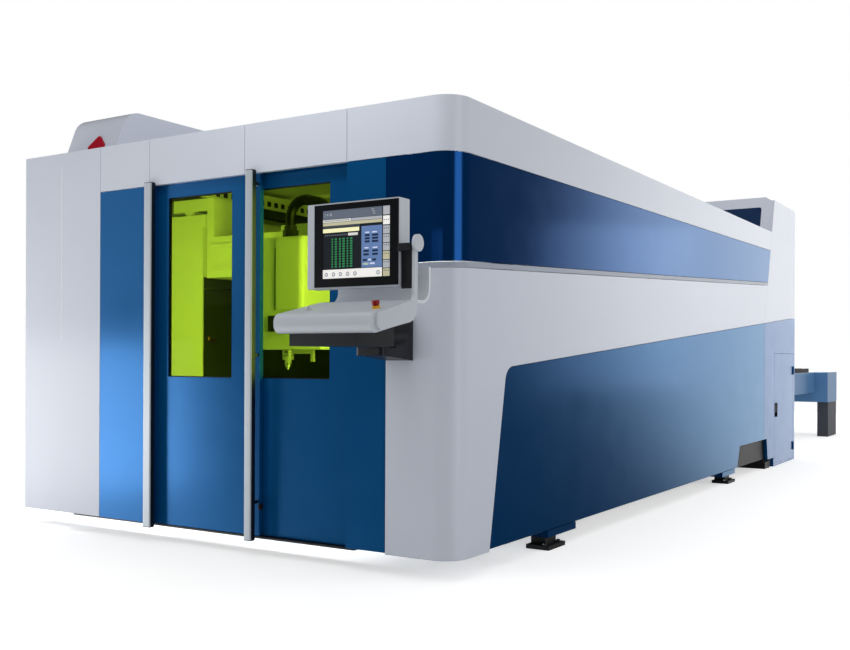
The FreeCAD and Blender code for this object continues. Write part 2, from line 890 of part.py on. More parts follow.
def make_doors():
    left_window = LEAF_LEFT_START + S.window_start_left
    leaf, window, height = make_leaf(LEAF_LEFT_START, LEAF_LEFT_END, LEAF_LEFT_FACE, left_window)
    hangers = make_hangers(LEAF_LEFT_START, LEAF_LEFT_END, LEAF_LEFT_FACE)
    keep(group(leaf, *hangers), "door_leaf_left")
    make_window("left", window, height, LEAF_LEFT_FACE)

    right_window = LEAF_RIGHT_START + S.window_start_right
    leaf, window, height = make_leaf(LEAF_RIGHT_START, LEAF_RIGHT_END, LEAF_RIGHT_FACE, right_window)
    hangers = make_hangers(LEAF_RIGHT_START, LEAF_RIGHT_END, LEAF_RIGHT_FACE)
    keep(group(leaf, *hangers), "door_leaf_right")
    make_window("right", window, height, LEAF_RIGHT_FACE)

    # The track holds two channels, one for each leaf, with a lip under the rollers.
    start = TRACK_START
    body = block((start, PANEL_RIGHT + 27), (BACK, TRACK_BACK), (TRACK_BOTTOM, FRAME_BEAM))
    channels = []
    for face in (LEAF_LEFT_FACE, LEAF_RIGHT_FACE):
        middle = face + S.leaf_thick / 2
        wide = (middle - 11, middle + 11)
        low = TRACK_BOTTOM + 10
        channels.append(block((start - 1, PANEL_RIGHT + 28), wide, (low, low + S.shoe_height + 8)))
        neck = (middle - 4, middle + 4)
        channels.append(block((start - 1, PANEL_RIGHT + 28), neck, (TRACK_BOTTOM - 1, low + 1)))
    keep(cut(body, *channels), "door_track")

    # A thin sill under the leaves, with a lip that meets the fixed skins at the left.
    sill = block((start, PANEL_RIGHT + 27), (BACK, BACK + S.tube), (S.sill_bottom, S.sill_top))
    lip = block((start, JAMB), (BACK - 8, LEAF_LEFT_FACE - 1), (S.sill_top, S.skin_bottom))
    keep(fuse(sill, lip), "door_sill")

    # The fixed jamb profile stands on the left panel, the handle bar on the left leaf.
    jamb = bar(JAMB - 33, S.bar_width, -S.bar_depth)
    keep(jamb, "door_jamb_profile")
    handle_start = LEAF_LEFT_END + 4 - S.handle_width
    handle = bar(handle_start, S.handle_width, -S.bar_depth - S.bar_standoff)
    place = handle_start + S.handle_width / 2
    posts = []
    for height in (S.bar_bottom + S.bar_post_setback, (S.bar_bottom + BAR_TOP) / 2, BAR_TOP - 60):
        posts.append(
            block((place - 9, place + 9), (-S.bar_standoff, LEAF_LEFT_FACE), (height - 8, height + 8))
        )
    keep(fuse(handle, *posts), "door_handle_bar")


def bar(start, width, face):
    """An upright aluminium bar with rounded front edges."""
    body = new_body()
    outline = rectangle((start, start + width), (face, face + S.bar_depth))
    pad(body, "XY", outline, BAR_TOP - S.bar_bottom, S.bar_bottom)
    fillet(body, S.bar_radius, lambda c, e: near(c.y, face) and is_upright(e))
    return body


def make_frame():
    """Square tubes behind the skins: each post and beam is a solid of its own."""
    left = (POST_LEFT_FACE, POST_LEFT_FACE + S.tube)
    right = (POST_FACE - S.tube, POST_FACE)
    corner_post = (CORNER - S.tube / 2, CORNER + S.tube / 2)
    jamb_post = (PANEL_RIGHT + 29, PANEL_RIGHT + 29 + S.tube)
    front = (BACK, BACK + S.tube)
    top = (FRAME_BEAM, FRAME_TOP)
    low = (S.foot_height, S.foot_height + S.tube)
    tall = (S.foot_height + S.tube, FRAME_BEAM)
    sill_beam = (front[1], front[1] + S.tube)
    side_posts = [S.corner_reach - S.tube / 2, S.seam_back / 2, REAR_POST]
    first = (side_posts[0], side_posts[0] + S.tube)
    solids = [
        block((left[0], corner_post[1]), front, top),
        block((left[0], corner_post[1]), sill_beam, low),
        block(left, front, (S.skin_bottom, FRAME_BEAM)),
        block(jamb_post, front, (S.skin_bottom, FRAME_BEAM)),
        block(corner_post, front, (S.skin_bottom, FRAME_BEAM)),
        block(corner_post, (sill_beam[1], first[1]), low),
        block((corner_post[1], right[0]), first, low),
        block(right, (side_posts[0], S.post_place), top),
        block(left, (front[1], S.post_place), top),
        block(right, (side_posts[0], S.recess_wall), low),
        block(left, (sill_beam[1], REAR_POST + S.tube), low),
        block((left[1], right[0]), (REAR_POST, REAR_POST + S.tube), low),
        block((left[1], right[0]), (REAR_POST, REAR_POST + S.tube), top),
        block((left[1], right[0]), (side_posts[1], side_posts[1] + S.tube), top),
        block((left[1], right[0]), first, top),
    ]
    for place in side_posts:
        solids.append(block(right, (place, place + S.tube), tall))
    for place in side_posts[1:]:
        solids.append(block(left, (place, place + S.tube), tall))
    # Portal posts stand on the floor.
    back_post = S.portal_back - S.skin_depth - S.tube
    for side in (left, right):
        solids.append(block(side, (S.post_place, S.post_place + S.tube), (S.portal_foot, FRAME_TOP)))
        solids.append(block(side, (back_post, back_post + S.tube), (S.portal_foot, FRAME_TOP)))
        solids.append(block(side, (S.post_place + S.tube, back_post), top))
    solids.append(block((left[1], right[0]), (back_post, back_post + S.tube), top))
    keep(group(*solids), "enclosure_frame")


def mirrored(x):
    """The same stretch of x measured from the left side of the machine."""
    return (LEFT - x[1], LEFT - x[0])


def make_feet():
    """Feet under the long sides, under the bed and in the rear recess."""
    solids = []
    under = (POST_FACE - S.tube, POST_FACE)
    plate = (S.foot_plate_lip - S.foot_plate_width, S.foot_plate_lip)
    plate_left = (LEFT, LEFT + S.foot_plate_width)
    for place in (S.foot_front, S.foot_rear):
        long = (place - S.foot_plate_length / 2, place + S.foot_plate_length / 2)
        short = (place - S.pedestal_length / 2, place + S.pedestal_length / 2)
        thick = (0, S.foot_plate_thick)
        stem = (S.foot_plate_thick, S.pedestal_top)
        solids.append(fuse(block(plate, long, thick), block(under, short, stem)))
        solids.append(fuse(block(plate_left, long, thick), block(mirrored(under), short, stem)))

    # Four plain feet stand under the cross members of the bed.
    for face in (BED_LEFT_FACE + 60, -S.bed_right_face - 180):
        for place in (S.bed_front + S.member_inset, BED_BACK - S.member_inset - S.member_depth):
            solids.append(block((face, face + 120), (place, place + S.member_depth), (0, S.foot_height)))

    # The foot in the rear recess carries a dark wall and lining that close the recess.
    wall_y = (S.recess_wall, S.recess_wall + S.sheet)
    back = S.recess_wall + S.rear_foot_length
    foot = block((-S.rear_foot_left, -S.rear_foot_right), (S.recess_wall, back), (0, S.rear_foot_height))
    wall = block((-S.rear_foot_left, POST_FACE - 1), wall_y, (S.rear_foot_height, S.recess_top + 30))
    lining = new_body()
    clear = 2
    slope = S.recess_lean / (S.recess_top - S.lower_bottom)
    low = S.foot_height
    outline = [
        (S.recess_front + clear - slope * (S.lower_bottom - low), low),
        (S.recess_front + S.recess_lean + clear, S.recess_top - clear),
        (S.recess_back - clear, S.recess_top - clear),
        (S.recess_back - clear, low),
    ]
    pad(lining, "YZ", outline, S.sheet, POST_FACE)
    solids.append(fuse(foot, wall))
    solids.append(lining)
    keep(group(*solids), "levelling_feet")

    # An outrigger stands on each foot and reaches out under the skin.
    solids = []
    step = S.sheet
    for start in (S.outrigger_front, S.outrigger_rear):
        end = start + S.outrigger_length
        base = block(under, (start, end), (S.pedestal_top, S.foot_height))
        arm = block((POST_FACE, -1), (start, end), (S.pedestal_top, S.lower_bottom - step))
        solids.append(fuse(base, arm))
        base = block(mirrored(under), (start, end), (S.pedestal_top, S.foot_height))
        arm = block(mirrored((POST_FACE, -1)), (start, end), (S.pedestal_top, S.skin_bottom))
        solids.append(fuse(base, arm))
    keep(group(*solids), "foot_brackets")


def make_bed():
    low = S.foot_height
    runway = (BED_TOP - S.runway_height, BED_TOP)
    length = (S.bed_front, BED_BACK)
    left = (BED_LEFT_FACE - S.bed_left_width, BED_LEFT_FACE)
    right = (-S.bed_right_face, -S.bed_right_face + S.bed_right_width)
    # The inner face of the left side is set back below the runway.
    lower = block((left[0], left[1] - S.runway_step), length, (low, runway[0]))
    solids = [fuse(lower, block(left, length, runway)), block(right, length, (low, BED_TOP))]
    cross_top = low + S.bed_plinth
    webs = track_webs()
    middle = S.bed_front + (S.bed_length - S.member_depth) / 2
    last = BED_BACK - S.member_inset - S.member_depth
    for place in (S.bed_front + S.member_inset, middle, last):
        depth = (place, place + S.member_depth)
        solids.append(block((left[1] - S.runway_step, right[0]), depth, (low, cross_top)))
        for web in webs:
            solids.append(block(web, depth, (cross_top, S.track_foot)))
    for side in (left, right):
        centre = (side[0] + side[1]) / 2
        width = (centre - S.rail_width / 2, centre + S.rail_width / 2)
        solids.append(block(width, (length[0] + 10, length[1] - 10), (BED_TOP, BED_TOP + S.rail_height)))
    keep(group(*solids), "machine_bed")


def track_webs():
    outer = S.track_gap + S.track_web
    return (
        (PALLET_LEFT - outer, PALLET_LEFT - S.track_gap),
        (PALLET_RIGHT + S.track_gap, PALLET_RIGHT + outer),
    )


def track_solids(start, end):
    """Two webs with an upper and a lower ledge along their inner faces."""
    solids = []
    left, right = track_webs()
    reach = S.track_gap + S.ledge_width
    for web in (left, right):
        solids.append(block(web, (start, end), (S.track_foot, S.track_head)))
    for pallet in (S.lower_pallet_bottom, S.upper_pallet_bottom):
        height = (pallet - S.hair_gap - S.ledge_thick, pallet - S.hair_gap)
        solids.append(block((left[1], left[1] + reach), (start, end), height))
        solids.append(block((right[0] - reach, right[0]), (start, end), height))
    return solids


def make_tracks():
    solids = track_solids(S.bed_front + 20, S.portal_back)
    place = S.post_place + S.web_setback
    for web in track_webs():
        solids.append(block(web, (place, place + S.tube), (S.portal_foot, S.track_foot)))
        solids.append(block(web, (REAR_POST, REAR_POST + S.tube), (S.foot_height + S.tube, S.track_foot)))
    keep(group(*solids), "pallet_tracks")

    # Outside the portal the same rails end in a box beam on two legs.
    solids = track_solids(S.portal_back, CHANGER_BACK)
    right = -S.changer_right
    left = 2 * CENTRE - right
    solids.append(block((left, right), (CHANGER_BACK, CHANGER_END), (S.changer_foot, S.changer_top)))
    leg = ((S.changer_length - S.leg_length) / 2 + CHANGER_BACK, 0)
    depth = (leg[0], leg[0] + S.leg_length)
    solids.append(block((left, left + S.leg_width), depth, (0, S.changer_foot)))
    solids.append(block((right - S.leg_width, right), depth, (0, S.changer_foot)))
    keep(group(*solids), "changer_frame")


def make_pallet(label, start, bottom):
    """A frame of square bars with upright toothed slats across it."""
    end = start + S.pallet_length
    bar_width = S.pallet_frame
    height = (bottom, bottom + S.pallet_height)
    inner = (PALLET_LEFT + bar_width, PALLET_RIGHT - bar_width)
    solids = [
        block((PALLET_LEFT, inner[0]), (start, end), height),
        block((inner[1], PALLET_RIGHT), (start, end), height),
        block(inner, (start, start + bar_width), height),
        block(inner, (end - bar_width, end), height),
    ]
    slats = []
    tip = bottom + S.pallet_height + 6
    pitch = S.slat_pitch
    count = int((S.pallet_length.number - 2 * bar_width.number) / pitch.number)
    for number in range(count):
        place = start + bar_width + pitch * (number + 0.5)
        slats.append(block(inner, (place, place + S.slat_thick), (bottom + 8, tip)))
    # One zigzag cutter gives every slat its teeth.
    teeth = int((inner[1].number - inner[0].number) / S.tooth_pitch.number)
    outline = [(inner[0] - 1, tip + 5), (inner[0] - 1, tip)]
    for number in range(teeth):
        outline.append((inner[0] + S.tooth_pitch * (number + 0.5), tip - S.tooth_height))
        outline.append((inner[0] + S.tooth_pitch * (number + 1), tip))
    outline.append((inner[1] + 1, tip))
    outline.append((inner[1] + 1, tip + 5))
    cutter = new_body()
    pad(cutter, "XZ", outline, S.pallet_length, -start, backwards=True)
    keep(group(*solids, cut(group(*slats), cutter)), label)


def make_gantry():
    left = BED_LEFT_FACE
    right = -S.bed_right_face
    beam_x = (left + S.gantry_setback, right - S.gantry_setback)
    beam_y = (S.beam_front, S.beam_front + S.gantry_width)
    beam_z = (S.gantry_bottom, S.gantry_bottom + S.gantry_depth)
    parts = [block(beam_x, beam_y, beam_z)]
    rail_top = BED_TOP + S.rail_height
    truck_z = (rail_top + S.hair_gap, rail_top + S.truck_height)
    truck_y = (S.beam_front, S.beam_front + S.truck_length)
    skirt_low = rail_top - S.rail_height * 0.7
    sides = (
        (left - S.bed_left_width + 10, beam_x[0] + 60, left - S.bed_left_width / 2),
        (beam_x[1] - 60, right + S.bed_right_width - 10, right + S.bed_right_width / 2),
    )
    for start, end, rail in sides:
        parts.append(block((start, end), truck_y, truck_z))
        half = S.rail_width / 2 + S.hair_gap
        for skirt in ((rail - half - 18, rail - half), (rail + half, rail + half + 18)):
            parts.append(block(skirt, truck_y, (skirt_low, truck_z[1])))
    for start in (beam_x[0], beam_x[1] - 60):
        parts.append(block((start, start + 60), beam_y, (beam_z[0], truck_z[1])))
    # Two guide rails along the front of the beam carry the cross carriage.
    rails = [S.gantry_bottom + 50, S.gantry_bottom + S.gantry_depth - 70]
    rail_face = S.beam_front - S.rail_thick
    for low in rails:
        parts.append(block((beam_x[0] + 40, beam_x[1] - 40), (rail_face, S.beam_front), (low, low + 20)))
    keep(fuse(*parts), "gantry_beam")

    # Cross carriage: a plate with grooves behind and two upright rails in front.
    head = -S.head_place
    wide = (head - S.carriage_width / 2, head + S.carriage_width / 2)
    plate_front = rail_face - S.plate_thick
    plate = block(wide, (plate_front, rail_face - S.hair_gap), (S.carriage_bottom, beam_z[1] + 30))
    bearing = block(wide, (rail_face - S.hair_gap, S.beam_front - S.hair_gap), (rails[0] - 20, rails[1] + 40))
    grooves = []
    for low in rails:
        height = (low - S.hair_gap, low + 20 + S.hair_gap)
        depth = (rail_face - S.hair_gap, S.beam_front)
        grooves.append(block((wide[0] - 1, wide[1] + 1), depth, height))
    guides = []
    for side in (-1, 1):
        place = head + side * (S.cover_width / 2 - 30)
        height = (S.carriage_bottom + 10, beam_z[1] + 20)
        guides.append(block((place - 10, place + 10), (plate_front - 14, plate_front), height))
    carriage = fuse(cut(fuse(plate, bearing), *grooves), *guides)
    keep(carriage, "cross_carriage")

    # Covered slide in front, with a raised plaque, a shelf at its foot and a lug for the hose.
    cover_x = (head - S.cover_width / 2, head + S.cover_width / 2)
    cover_back = plate_front - S.hair_gap
    cover = new_body()
    outline = rectangle(cover_x, (S.cover_front, cover_back))
    pad(cover, "XY", outline, COVER_TOP - S.cover_bottom, S.cover_bottom)
    fillet(cover, S.cover_corner, lambda c, e: near(c.y, S.cover_front) and is_upright(e))
    plaque = new_body()
    proud = S.cover_front - S.plaque_margin
    outline = rectangle((cover_x[1] - S.plaque_width, cover_x[1]), (proud, S.cover_front + S.cover_corner))
    top = COVER_TOP - S.plaque_margin
    pad(plaque, "XY", outline, top - S.plaque_bottom, S.plaque_bottom)
    fillet(plaque, S.cover_corner, lambda c, e: near(c.y, proud) and near(c.x, cover_x[1]) and is_upright(e))
    shelf_x = (cover_x[0], cover_x[1] + S.shelf_overhang)
    shelf = block(shelf_x, (S.cover_front + 20, cover_back), (S.shelf_bottom, S.cover_bottom))
    head_y = S.cover_front + S.head_setback
    hose_end = hose_route(head + S.hose_start)[-1][0]
    lug_y = (head_y - S.hose_radius - 3, head_y + S.hose_radius + 3)
    lug = block((cover_x[1] - 5, hose_end + S.hose_radius + 3), lug_y, (COVER_TOP - 15, COVER_TOP))
    slots = []
    for side in (-1, 1):
        place = head + side * (S.cover_width / 2 - 30)
        half = 10 + S.hair_gap
        depth = (plate_front - 14 - S.hair_gap, plate_front + 5)
        slots.append(block((place - half, place + half), depth, (S.shelf_bottom - 1, COVER_TOP + 1)))
    keep(cut(fuse(cover, plaque, shelf, lug), *slots), "z_slide")

    # Cutting head and nozzle below the shelf.
    tip = S.nozzle_tip
    seat = tip + S.nozzle_length
    head_x = head - S.head_offset
    body = rod((head_x, head_y, seat + 30), S.head_radius, S.shelf_bottom - seat - 30)
    neck = rod((head_x, head_y, seat), S.head_radius * 0.6, 31)
    half = S.sensor_size / 2
    sensor_x = head + S.sensor_offset
    sensor_y = (head_y - half, head_y + half)
    sensor = block((sensor_x - half, sensor_x + half), sensor_y, (seat + 20, S.shelf_bottom))
    sensor_arm = block((head_x, sensor_x), sensor_y, (S.shelf_bottom - 24, S.shelf_bottom))
    keep(fuse(body, neck, sensor, sensor_arm), "cutting_head")
    make_nozzle(head_x, head_y, tip)
    make_hose(head + S.hose_start, head_y)


def flat_ring(x, y, radius, flats):
    """Corners of a ring of flats that stands for a circle."""
    points = []
    for number in range(flats):
        angle = 2 * math.pi * (number + 0.5) / flats
        across = radius * round(math.cos(angle), 6)
        points.append((x + across, y + radius * round(math.sin(angle), 6)))
    return points


def make_nozzle(x, y, tip):
    """Stepped nozzle with the bore that the beam leaves by."""
    step = tip + S.nozzle_step
    mouth = rod((x, y, tip), S.nozzle_mouth_radius, S.nozzle_step)
    root = rod((x, y, step), S.nozzle_root_radius, S.nozzle_length - S.nozzle_step)
    bore = rod((x, y, tip - 1), S.nozzle_bore_radius, S.nozzle_length + 2)
    keep(cut(fuse(mouth, root), bore), "nozzle")


HOSE_LEAN = math.radians(14)


def hose_route(start):
    """Ends of the straight and curved runs of the hose, seen from the front."""
    bend = S.hose_bend
    sine, cosine = round(math.sin(HOSE_LEAN), 6), round(math.cos(HOSE_LEAN), 6)
    low = COVER_TOP
    first = FRAME_BEAM - S.hose_drop
    points = [(start, low), (start, first)]
    points.append((start + bend * (1 + sine), first + bend * cosine))
    points.append((points[2][0] + S.hose_run * cosine, points[2][1] - S.hose_run * sine))
    points.append((points[3][0] + bend * (1 - sine), points[3][1] - bend * cosine))
    points.append((points[4][0], low))
    return points


def make_hose(start, y):
    """Supply hose: out of the cover, over a leaning arch and down to the lug."""
    hose = new_body()
    support = next(f for f in hose.Origin.OriginFeatures if f.Role == "XZ_Plane")
    path = hose.newObject("Sketcher::SketchObject", "Path")
    path.AttachmentSupport = [(support, "")]
    path.MapMode = "FlatFace"
    bind(path, "AttachmentOffset.Base.z", -y)
    points = hose_route(start)
    places = [FreeCAD.Vector(u.number, v.number, 0) for u, v in points]
    bend = S.hose_bend.number
    centres = [places[1] + FreeCAD.Vector(bend, 0, 0), places[4] - FreeCAD.Vector(bend, 0, 0)]
    top = math.pi / 2 - HOSE_LEAN
    spans = [(top, math.pi), (0, top)]
    for number in range(5):
        if number % 2 == 0:
            shape = Part.LineSegment(places[number], places[number + 1])
        else:
            circle = Part.Circle(centres[number // 2], FreeCAD.Vector(0, 0, 1), bend)
            shape = Part.ArcOfCircle(circle, *spans[number // 2])
        path.addGeometry(shape, False)
    path.addConstraint([
        Sketcher.Constraint("Coincident", 0, 2, 1, 2),
        Sketcher.Constraint("Coincident", 1, 1, 2, 1),
        Sketcher.Constraint("Coincident", 2, 2, 3, 2),
        Sketcher.Constraint("Coincident", 3, 1, 4, 1),
    ])
    for number, (line, end) in enumerate([(0, 1), (0, 2), (2, 1), (2, 2), (4, 1), (4, 2)]):
        for axis, name in enumerate(("DistanceX", "DistanceY")):
            value = points[number][axis]
            index = path.addConstraint(Sketcher.Constraint(name, -1, 1, line, end, value.number))
            bind(path, f"Constraints[{index}]", value)
    for arc in (1, 3):
        index = path.addConstraint(Sketcher.Constraint("Radius", arc, bend))
        bind(path, f"Constraints[{index}]", S.hose_bend)

    ring = sketch_on(hose, "XY", flat_ring(start, y, S.hose_radius, 8), COVER_TOP)
    doc.recompute()
    pipe = hose.newObject("PartDesign::AdditivePipe", "Hose")
    pipe.Profile = ring
    pipe.Spine = path
    doc.recompute()
    keep(hose, "supply_hose")


def make_portal_sides():
    gap = S.seam
    top = PORTAL_TOP
    back = S.portal_back
    low_front = (S.seam_back, S.lower_top + gap + S.lower_slope * S.seam_back)
    low_back = (back, S.lower_top + gap + S.lower_slope * back)
    outline = [low_front, low_back, (back, top), on_seam(top, 0)]
    rounding = (S.portal_radius, lambda c, e: near(c.y, back) and near(c.z, top))
    side_tray("portal_side_upper", outline, rounding)

    foot = S.portal_foot
    front = S.service_front
    outline = [
        (S.seam_back, S.recess_top),
        (S.recess_back, S.recess_top),
        (S.recess_back + 40, S.portal_skirt),
        (front - 33, S.portal_skirt),
        (front - 33, foot),
        (back, foot),
        (back, S.lower_top + S.lower_slope * back),
        (S.seam_back, S.lower_top + S.lower_slope * S.seam_back),
    ]
    lower = side_tray(None, outline)
    hole = rectangle((front - gap, S.service_back + gap), (S.service_bottom - gap, S.service_top + gap))
    pocket(lower, "YZ", hole, S.skin_depth + 2, 1)

    # Lift-off hinges: a pin stands in the lower knuckle and enters the door's knuckle.
    radius = S.knuckle_radius
    axis = (radius + S.hair_gap, S.service_back + gap / 2)
    length = S.knuckle_length
    fixed = [lower]
    moving = []
    for height in (S.service_bottom + 120, S.service_top - 160):
        fixed.append(rod((axis[0], axis[1], height - length), radius, length - S.hair_gap))
        fixed.append(rod((axis[0], axis[1], height - length), S.pin_radius, 2 * length - 3))
        leaf_y = (S.service_back + gap, S.service_back + 26)
        fixed.append(block((0, axis[0]), leaf_y, (height - length, height - S.hair_gap)))
        knuckle = rod((axis[0], axis[1], height), radius, length)
        web = block((0, axis[0]), (S.service_back - 22, S.service_back), (height, height + length))
        bore = rod((axis[0], axis[1], height - 1), S.pin_radius + S.hair_gap, length + 2)
        moving.append(cut(fuse(knuckle, web), bore))
    keep(fuse(*fixed), "portal_side_lower")

    door = side_tray(None, rectangle((front, S.service_back), (S.service_bottom, S.service_top)))
    start = front + S.latch_setback
    low = S.latch_bottom
    lip = 3
    hole = rectangle(
        (start + lip, start + S.latch_width - lip),
        (low + lip, low + S.latch_height - lip),
    )
    pocket(door, "YZ", hole, S.sheet + 2, 1)
    keep(fuse(door, *moving), "portal_door")

    # Recessed latch with a paddle.
    rim = block((0, 2), (start, start + S.latch_width), (low, low + S.latch_height))
    inside = (start + lip + S.hair_gap, start + S.latch_width - lip - S.hair_gap)
    inside_z = (low + lip + S.hair_gap, low + S.latch_height - lip - S.hair_gap)
    box = block((-18, 0), inside, inside_z)
    recess = block((-14, 3), (inside[0] + 6, inside[1] - 6), (inside_z[0] + 6, inside_z[1] - 6))
    paddle = block((-15, 0), (inside[0] + 16, inside[1] - 16), (inside_z[0] + 40, inside_z[1] - 14))
    keep(fuse(cut(fuse(rim, box), recess), paddle), "portal_door_latch")


def lean_line(offset, low, high):
    """Two points on the leaning front of the portal, moved back by an offset."""
    return [
        (S.seam_back + (as_size(z) - S.seam_knee) * S.seam_lean + offset, as_size(z)) for z in (low, high)
    ]


def make_portal():
    roof = S.roof_height
    top = PORTAL_TOP
    crown = top + S.hood_crown
    back = S.portal_back
    hood = new_body()
    outline = [
        (POST_FACE, roof),
        (LEFT, roof),
        (LEFT, top),
        (LEFT + S.hood_chamfer, crown),
        (-S.hood_chamfer, crown),
        (POST_FACE, top),
    ]
    start = S.seam_back + 100
    pad(hood, "XZ", outline, back - start, -start, backwards=True)
    lean = lean_line(0, roof - 40, crown + 40)
    pocket(hood, "YZ", lean + [(start - 5, crown + 40), (start - 5, roof - 40)], S.body_width + 20, 10)
    long = S.portal_rise.number
    fillet(hood, S.portal_radius, lambda c, e: near(c.y, back) and near(c.z, crown) and e.Length > long)
    hollow(hood, lambda c: near(c.z, roof))
    edge = S.inset_edge
    low = INSET_BOTTOM
    high = INSET_TOP
    front = lean_line(-20, low, high)
    behind = lean_line(20, low, high)
    window = new_body()
    pad(window, "YZ", [front[0], behind[0], behind[1], front[1]], S.body_width - 2 * edge, LEFT + edge)
    fillet(window, 22, lambda c, e: abs(e.tangentAt(e.FirstParameter).y) > 0.99)
    keep(cut(hood, window), "portal_hood")

    # Dark panel behind the window of the hood.
    lap = 18
    offset = S.sheet * 1.0456 + S.hair_gap
    front = lean_line(offset, low - lap, high + lap)
    behind = lean_line(offset + S.sheet, low - lap, high + lap)
    panel = new_body()
    width = S.body_width - 2 * edge + 2 * lap
    pad(panel, "YZ", [front[0], behind[0], behind[1], front[1]], width, LEFT + edge - lap)
    keep(panel, "portal_inset")

    # Rear wall with the opening for the pallets.
    wall = new_body()
    face = back - S.skin_depth
    outline = rectangle((LEFT + S.skin_depth, POST_FACE), (S.portal_foot, roof))
    pad(wall, "XZ", outline, S.skin_depth, -face, backwards=True)
    hollow(wall, lambda c: near(c.y, face))
    hole = rectangle((OPENING_LEFT, OPENING_RIGHT), (S.opening_bottom, S.opening_top))
    pocket(wall, "XZ", hole, S.skin_depth + 2, -face + 1)

    # Lifting gate inside the opening, drawn raised, with notches for the rails.
    lap = S.gate_lap
    gate = new_body()
    low = S.opening_bottom - lap + S.gate_lift
    high = S.opening_top + lap + S.gate_lift
    notch = S.track_head + 8 + S.gate_lift
    outline = [(OPENING_LEFT - lap, low)]
    for web in track_webs():
        inner = S.ledge_width + S.track_gap + 6
        first = web[0] - 6 if web[0].number < CENTRE.number else web[0] - inner
        last = web[1] + inner if web[0].number < CENTRE.number else web[1] + 6
        outline += [(first, low), (first, notch), (last, notch), (last, low)]
    outline += [(OPENING_RIGHT + lap, low), (OPENING_RIGHT + lap, high), (OPENING_LEFT - lap, high)]
    pad(gate, "XZ", outline, S.gate_thick, -S.gate_place, backwards=True)
    keep(gate, "pallet_gate")

    guides = []
    slot_y = (S.gate_place - S.hair_gap, S.gate_place + S.gate_thick + S.hair_gap)
    rail_z = (S.opening_bottom - lap - 5, high + 30)
    for edge_x, side in ((OPENING_LEFT - lap, -1), (OPENING_RIGHT + lap, 1)):
        outer = edge_x + side * 40
        inner = edge_x - side * 12
        floor = edge_x + side * S.hair_gap
        wide = (outer, inner) if side < 0 else (inner, outer)
        slot_x = (floor, inner + 1) if side < 0 else (inner - 1, floor)
        body = block(wide, (S.gate_place - 14, back - S.sheet), rail_z)
        guides.append(cut(body, block(slot_x, slot_y, (rail_z[0] - 1, rail_z[1] + 1))))
    keep(group(wall, *guides), "portal_rear_panel")


def tray_slope(y, lift=0):
    """Height of the tray's underside, or of a plane above it, at a distance in front."""
    rise = S.console_rise / S.console_depth
    return S.console_nose + (S.console_front + as_size(y)) * rise + lift


def tilted(part):
    """Lean a round part square to the sloping tray."""
    part.Placement = FreeCAD.Placement(part.Placement.Base, FreeCAD.Rotation(FreeCAD.Vector(1, 0, 0), 12))
    part.setExpression("Placement.Rotation.Angle", "atan(Sizes.console_rise / Sizes.console_depth)")
    return part


